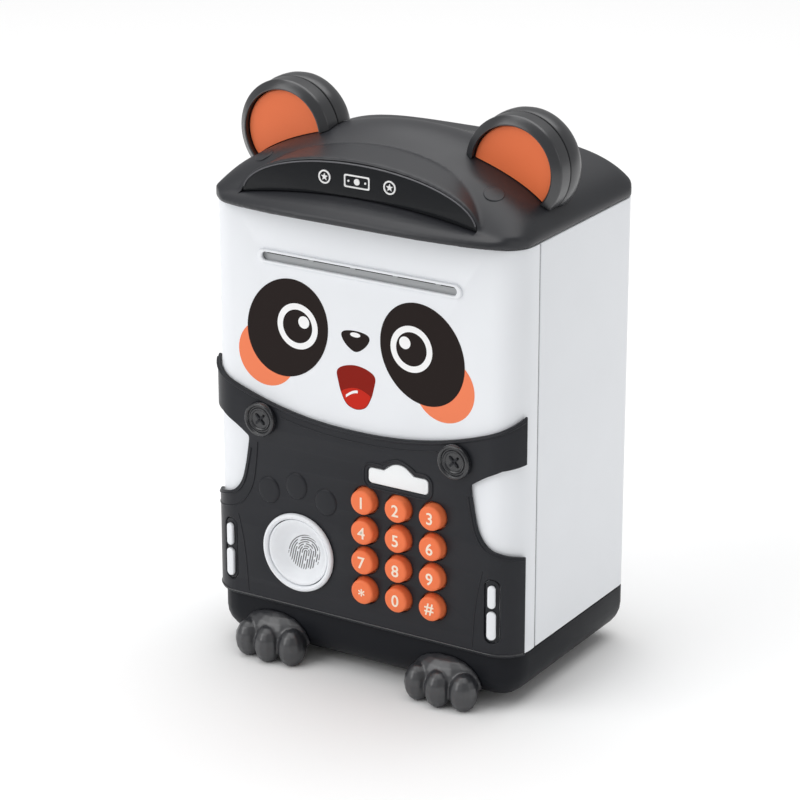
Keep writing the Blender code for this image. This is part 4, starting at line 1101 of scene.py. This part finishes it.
# ------------------------------------------------------------------ roof and ears
@dataclass
class Roof:
    """Moulded roof: crowned skin, peak and sign hood in one surface."""

    floor: float = 187.6
    half: float = 70.3
    crown: float = 19.2
    hump: float = 12.5
    sign_half: float = 52.4
    sign_z: float = 193.0
    sign_rise: float = 18.6
    sign_y: float = -40.2
    corner_x: float = 58.0
    corner_y: float = -27.9
    front: float = -40.9
    front_radius: float = 12.2
    back_radius: float = 7.5
    wall: float = 2.4
    voxel: float = 0.85

    def __post_init__(self) -> None:
        """Read the rear face from the frame."""
        self.back = box_mm("roof_shell")[1].y
        self.bow = self.back + self.corner_y - 12.3

    def height(self, x: float, y: float) -> float:
        """Height of the roof's skin above its rim."""
        side = max(0.0, 1.0 - abs(x / 70.6) ** 4.2) ** 0.53
        back = max(0.0, 1.0 - abs(max(y, 0.0) / 54.0) ** 20) ** 0.5
        slope = min(max((-21.6 - y) / 21.6, 0.0), 1.0)
        front = (1.0 - slope ** 2) ** 0.8
        spread = 25.0 if y < -2.0 else 24.0
        along = math.exp(-((y + 2.0) / spread) ** 2)
        across = max(0.0, 1.0 - (x / 75.0) ** 2) ** 2.2
        return self.crown * side * back * front + self.hump * along * across

    def corner(self, x: float, y: float) -> Point2:
        """Pull a point of a rectangular grid into its rounded corner."""
        forward = y < (self.front + self.back) / 2
        radius = self.front_radius if forward else self.back_radius
        middle_x = self.half - radius
        middle_y = self.front + radius if forward else self.back - radius
        outward = -1.0 if forward else 1.0
        p = (abs(x) - middle_x) / radius
        q = (y - middle_y) * outward / radius
        if p <= 0.0 or q <= 0.0:
            return x, y
        return (math.copysign(middle_x + radius * p * math.sqrt(1 - q * q / 2), x),
                middle_y + outward * radius * q * math.sqrt(1 - p * p / 2))

    def dome(self, inset: float = 0.0, floor: float | None = None,
             lift: float = 0.0) -> bmesh.types.BMesh:
        """Solid under the roof's skin, moved in by inset and up by lift."""
        bm = bmesh.new()
        bmesh.ops.create_grid(bm, x_segments=90, y_segments=72, size=1.0)
        for vert in bm.verts:
            u, v = math.sin(vert.co.x * math.pi / 2), math.sin(vert.co.y * math.pi / 2)
            x, y = self.corner(self.half * u,
                               (self.front + self.back) / 2 + (self.back - self.front) / 2 * v)
            shrink = 1.0 - inset / self.half
            rise = max(self.height(x, y) - max(inset, 0.0), 0.4) + lift
            vert.co = (x * shrink, y * shrink + max(inset, 0.0) * 0.2, self.floor + rise)
        skirt = bmesh.ops.extrude_face_region(bm, geom=bm.faces[:])
        for item in skirt["geom"]:
            if isinstance(item, bmesh.types.BMVert):
                item.co.z = self.floor if floor is None else floor
        bmesh.ops.recalc_face_normals(bm, faces=bm.faces)
        return bm

    def peak_section(self, x: float) -> list[Point3]:
        """Section of the peak at one place across the roof."""
        across = abs(x)
        bow = max(0.0, 1.0 - (across / 66.6) ** 2.4) ** 0.8
        lean = max(across - self.corner_x, 0.0) / 12.3
        lip_y = self.corner_y - 0.2 - 12.1 * math.sqrt(max(0.0, 1 - lean ** 2)) - self.bow * bow
        lip_z = self.floor + 2.4 * max(0.0, 1 - (across / 64.0) ** 2)
        top_z = max(198.0 - 4.5 * (across / self.sign_half) ** 2, lip_z + 3.4)
        edge_y = max(self.sign_y, lip_y + 2.0)
        return [(x, -28.0, self.floor + 1.4), (x, lip_y + 1.2, lip_z), (x, lip_y + 0.2, lip_z + 0.7),
                (x, lip_y, lip_z + 1.6), (x, lip_y + 0.5, lip_z + 2.8),
                (x, lip_y + 0.3 * (edge_y - lip_y), lip_z + 2.8 + 0.46 * (top_z - lip_z - 2.8)),
                (x, lip_y + 0.6 * (edge_y - lip_y), lip_z + 2.8 + 0.76 * (top_z - lip_z - 2.8)),
                (x, edge_y, top_z), (x, -28.0, top_z - 0.2)]

    def hood_ring(self, half: float, rise: float, y_foot: float, y_top: float) -> list[Point3]:
        """Arch of the sign hood: foot and top may lie at different depths."""
        ring = []
        for i in range(49):
            angle = math.pi * i / 48
            ring.append((half * math.cos(angle), y_foot + (y_top - y_foot) * math.sin(angle),
                         self.sign_z + rise * math.sin(angle)))
        return ring + [(-half * 0.9, y_foot, self.sign_z - 1.5), (half * 0.9, y_foot, self.sign_z - 1.5)]

    @staticmethod
    def loft(rings: Sequence[Sequence[Point3]]) -> bmesh.types.BMesh:
        """Closed skin through rings of equal length."""
        bm = bmesh.new()
        layers = [[bm.verts.new(p) for p in ring] for ring in rings]
        for one, two in zip(layers, layers[1:]):
            for i in range(len(one)):
                j = (i + 1) % len(one)
                bm.faces.new((one[i], one[j], two[j], two[i]))
        bm.faces.new(layers[0][::-1])
        bm.faces.new(layers[-1])
        bmesh.ops.recalc_face_normals(bm, faces=bm.faces)
        return bm

    def shell(self) -> None:
        """One moulded skin with its hollow and a recess for the sign."""
        peak = self.loft([self.peak_section(-69.4 + 138.8 * i / 80) for i in range(81)])
        hood = self.loft([self.hood_ring(self.sign_half + 1.0, self.sign_rise + 1.0, self.sign_y,
                                         self.sign_y),
                          self.hood_ring(self.sign_half - 1.0, 21.5, self.sign_y + 3.2, -22.5),
                          self.hood_ring(self.sign_half - 12.0, 14.0, -24.0, -8.0)])
        skin = remould(merge([self.dome(), peak, hood]), self.voxel, 5)
        skin = cut(skin, self.dome(self.wall, self.floor - 5.0))
        sign = centre_mm("sign_plate")
        arch = front_plate([SignPlate.outline(self, -0.25)], self.sign_y - 6.0, sign.y + 0.9)
        skin = cut(skin, arch)
        finish_piece("roof_skin", skin, ROOF_CHARCOAL, "root", ["roof_shell"], 50)

    def build(self) -> None:
        """Roof, plugs and coin slot."""
        self.shell()
        for side in Side:
            node = f"roof_plug_{side.word}"
            finish_piece(node + "_cap", refine(node, 0.3), ROOF_CHARCOAL, "root", [node])
        finish_piece("coin_slot", refine("coin_slot_insert", 0.3), BLACK_GLOSS, "root",
                     ["coin_slot_insert"])


@dataclass
class SignPlate:
    """Glossy arched sign with raised generic pictograms."""

    roof: Roof
    icon: float = 2.7
    icon_spread: float = 14.5

    @staticmethod
    def outline(roof: Roof, shrink: float = 0.0) -> list[Point2]:
        """Arch over a bowed foot line."""
        half, rise = roof.sign_half - shrink, roof.sign_rise - 2 * shrink
        foot = roof.sign_z + shrink
        top = [(half * math.cos(math.pi * i / 64), foot + rise * math.sin(math.pi * i / 64))
               for i in range(65)]
        lower = [(half * (-0.92 + 0.115 * i), foot + 5.0 * (1 - (-0.92 + 0.115 * i) ** 2))
                 for i in range(17)]
        return top + lower

    def coin(self, cx: float, cz: float, front: float,
             back: float) -> list[bmesh.types.BMesh]:
        """Ring with a five-pointed star."""
        star = [(cx + r * math.sin(math.pi * i / 5), cz + r * math.cos(math.pi * i / 5))
                for i, r in enumerate([self.icon * 0.58, self.icon * 0.24] * 5)]
        ring = [circle(cx, cz, self.icon), circle(cx, cz, self.icon * 0.78)]
        return [front_plate(ring, front, back), front_plate([star], front, back)]

    def banknote(self, cx: float, cz: float, front: float,
                 back: float) -> list[bmesh.types.BMesh]:
        """Note with a frame and a round middle."""
        half, tall = self.icon * 2.1, self.icon * 0.94

        def frame_loop(inset: float) -> list[Point2]:
            """Rounded rectangle, moved in by inset."""
            r = 0.7
            corners = ((half - r, tall - r, 0), (r - half, tall - r, 90), (r - half, r - tall, 180),
                       (half - r, r - tall, 270))
            return [point for x, z, start in corners
                    for point in corner_arc(cx + x - math.copysign(inset, x),
                                            cz + z - math.copysign(inset, z), r, start)]

        dots = [front_plate([circle(cx + s * half * 0.66, cz, 0.42, None, 20)], front, back)
                for s in (-1, 1)]
        return [front_plate([frame_loop(0.0), frame_loop(0.55)], front, back),
                front_plate([circle(cx, cz, self.icon * 0.46)], front, back)] + dots

    def build(self) -> None:
        """Plate, a light bead painted as the highlight along its arch, and the pictograms."""
        low, high = box_mm("sign_plate")
        plate = front_plate([self.outline(self.roof)], low.y, high.y, 0.3)
        finish_piece("sign", plate, SIGN_GLOSS, "root", ["sign_plate"])
        # Light bead along the arch: painted highlight of the hood's edge.
        arch = [(x, low.y - 0.05, z) for x, z in self.outline(self.roof, 0.5)[2:63]]
        finish_piece("sign_highlight_bead", wire(arch, 0.32), BEAD_HIGHLIGHT_GLOSS, "root", (), 60)
        cz = self.roof.sign_z + self.roof.sign_rise * 0.62
        front, back = low.y - 0.35, low.y + 0.1
        icons = self.coin(-self.icon_spread, cz, front, back)
        icons += self.banknote(0.0, cz, front, back)
        icons += self.coin(self.icon_spread, cz, front, back)
        finish_piece("sign_pictograms", merge(icons), INK_WHITE, "root")


@dataclass
class Ears:
    """Two ears: bevelled front ring, orange inlay and rounded rear cup."""

    roof: Roof
    spread: float = 51.3
    height: float = 210.3
    clear: float = 0.3

    def part(self, node: str, side: Side, profile: Sequence[Point2], finish: Finish) -> None:
        """Turned piece with its foot cut to the roof; heights are Y, to the rear."""
        ring = lathe(profile, (side.value * self.spread, 0.0, self.height), (0, 1, 0), 112)
        bmesh.ops.recalc_face_normals(ring, faces=ring.faces)
        ground = self.roof.dome(-self.clear, 170.0, self.clear)
        finish_piece(node + "_skin", cut(ring, ground), finish, "root", [node], 32)

    def build(self) -> None:
        """Both ears."""
        ring = [(17.1, -9.6), (17.1, -14.0), (17.3, -14.3), (17.7, -14.35), (20.45, -12.4),
                (20.75, -11.9), (20.8, -11.2), (20.8, -5.5), (20.6, -5.2), (15.0, -5.2), (15.0, -9.4)]
        cup = [(0.0, 8.9), (9.0, 8.85), (13.6, 8.5), (16.8, 7.5), (19.0, 5.9), (20.5, 3.6),
               (21.1, 1.2), (21.25, -1.2), (21.2, -3.4), (20.95, -4.6), (20.7, -4.8), (17.6, -4.8),
               (17.8, 2.6), (14.0, 5.9), (0.0, 6.2)]
        inlay = [(0.0, -12.2), (16.4, -12.2), (16.8, -11.8), (16.8, -10.0), (0.0, -10.0)]
        for side in Side:
            self.part(f"ear_front_{side.word}", side, ring, EAR_GLOSS)
            self.part(f"ear_back_{side.word}", side, cup, EAR_GLOSS)
            self.part(f"ear_inlay_{side.word}", side, inlay, ORANGE)


# ------------------------------------------------------------------ case and tray
@dataclass
class Case:
    """White shell, its jamb, the strike and dark strips painted as the shade in the gap at the door's edge.
    """

    gap_shade_width: float = 1.0

    def build(self) -> None:
        """The case's pieces."""
        finish_piece("case_shell", refine("body_shell", 0.4), WHITE, "root", ["body_shell"])
        finish_piece("door_jamb", refine("jamb_frame", 0.3), WHITE, "root", ["jamb_frame"])
        finish_piece("strike", refine("latch_strike", 0.2), STEEL, "root", ["latch_strike"])
        # Two thin dark strips just in front of the shell's edges: painted shade of the gap between door and
        # shell.
        low, high = box_mm("body_shell")
        gap_shade = BarRow(2, (low.x + self.gap_shade_width, low.y - 0.1, (low.z + high.z) / 2),
                      (high.x - low.x - 2 * self.gap_shade_width, 0.0, 0.0),
                      (self.gap_shade_width, 0.3, high.z - low.z - 1.0))
        finish_piece("door_gap_shade", gap_shade.build(SHADOW), SHADOW, "root")


@dataclass
class Tray:
    """Charcoal tray with two paws, feet and the battery cover."""

    paw_voxel: float = 0.4

    def build(self) -> None:
        """The tray's pieces."""
        finish_piece("tray", refine("base_shell", 0.5), SHADED_TRAY_CHARCOAL, "root", ["base_shell"])
        for side in Side:
            node = f"paw_{side.word}"
            skin = remould(cad_copy(node), self.paw_voxel, 8)
            finish_piece(node + "_skin", skin, PAW_SHEEN_GLOSS, "root", [node], 180)
            foot = f"rear_foot_{side.word}"
            finish_piece(foot + "_pad", refine(foot, 0.4), RUBBER, "root", [foot])
        finish_piece("battery_lid", refine("battery_cover", 0.2), CHARCOAL, "root",
                     ["battery_cover"])
        low, high = box_mm("battery_cover")
        grip = BarRow(6, (low.x + 3.0, (low.y + high.y) / 2, low.z + 0.05), (1.6, 0.0, 0.0),
                      (0.7, 22.0, 0.5))
        finish_piece("battery_lid_grip", grip.build(CHARCOAL), CHARCOAL, "root")
        screw_piece("battery_cover_screw", (0, 0, -1), "root")


# ------------------------------------------------------------------ studio
@dataclass(frozen=True)
class Lamp:
    """Soft square light aimed at the object's middle; metres and watts."""

    name: str
    place: Point3
    size: float
    power: float

    def build(self) -> None:
        """Hang the lamp."""
        data = bpy.data.lights.new(self.name, "AREA")
        data.shape, data.size, data.energy = "SQUARE", self.size, self.power
        lamp = helper_object(self.name, data)
        lamp.location = self.place
        aim = Vector((0, 0, 0.11)) - Vector(self.place)
        lamp.rotation_euler = aim.to_track_quat("-Z", "Y").to_euler()


@dataclass
class Studio:
    """Camera, pale floor and soft lights."""

    azimuth: float = 31.803
    elevation: float = 20.096
    roll: float = -0.066
    distance: float = 1.24804
    lens: float = 140.474
    target: Point3 = (-0.00888, 0.00441, 0.10174)
    floor_half: float = 6.0
    world_strength: float = 0.42
    lamps: tuple[Lamp, ...] = (Lamp("key", (-0.95, -1.40, 1.25), 1.6, 17.5),
                               Lamp("side", (1.6, 0.3, 0.7), 0.9, 1.5),
                               Lamp("top", (-0.1, 0.5, 2.2), 2.6, 40.0))

    def camera(self) -> None:
        """Camera at the three-quarter view."""
        a, e = math.radians(self.azimuth), math.radians(self.elevation)
        back = Vector((math.sin(a) * math.cos(e), -math.cos(a) * math.cos(e), math.sin(e)))
        data = bpy.data.cameras.new("camera")
        data.lens, data.sensor_width, data.clip_start, data.clip_end = self.lens, 36.0, 0.01, 20.0
        camera = helper_object("camera", data)
        camera.location = Vector(self.target) + back * self.distance
        roll = Matrix.Rotation(math.radians(self.roll), 3, "Z")
        camera.rotation_euler = ((-back).to_track_quat("-Z", "Y").to_matrix() @ roll).to_euler()
        bpy.context.scene.camera = camera

    def floor(self) -> None:
        """Wide pale floor."""
        bm = bmesh.new()
        bmesh.ops.create_grid(bm, x_segments=1, y_segments=1, size=self.floor_half)
        floor = helper_object("floor", mesh_of(bm, "floor"))
        material = bpy.data.materials.new("floor")
        tree = ShaderTree(material)
        tree.shader.inputs["Roughness"].default_value = 0.9
        tree.feed(tree.shader.inputs["Base Color"],
                  tree.mix(tree.noise(3.0), (0.95, 0.95, 0.95), (0.97, 0.97, 0.97)))
        floor.data.materials.append(material)

    def build(self) -> None:
        """Everything round the object."""
        self.camera()
        self.floor()
        world = bpy.data.worlds.new("studio")
        world.use_nodes = True
        background = world.node_tree.nodes["Background"].inputs
        background["Color"].default_value = (1.0, 1.0, 1.0, 1.0)
        background["Strength"].default_value = self.world_strength
        bpy.context.scene.world = world
        bpy.context.scene.view_settings.view_transform = "Standard"
        for lamp in self.lamps:
            lamp.build()


def dress_frame() -> None:
    """Give every CAD node its slot's finish."""
    slots = {part["node"]: part["material_slot"] for part in frame["record"]["subparts"]}
    for node, piece in frame["nodes"].items():
        piece.data.materials.clear()
        piece.data.materials.append(FINISHES[slots[node]].material())


def main() -> None:
    """Build the studio and every sub-assembly in order."""
    logging.basicConfig(level=logging.INFO, format="%(name)s %(message)s")
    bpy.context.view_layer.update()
    Studio().build()
    dress_frame()
    skin = DoorSkin()
    roof = Roof()
    for assembly in (Case(), Tray(), roof, SignPlate(roof), Ears(roof), DoorShell(skin), Face(skin),
                     Suit(skin), Keypad(skin), FingerButton(skin), DoorWorks()):
        LOG.info("building %s", type(assembly).__name__)
        assembly.build()


if __name__ == "__main__":
    main()
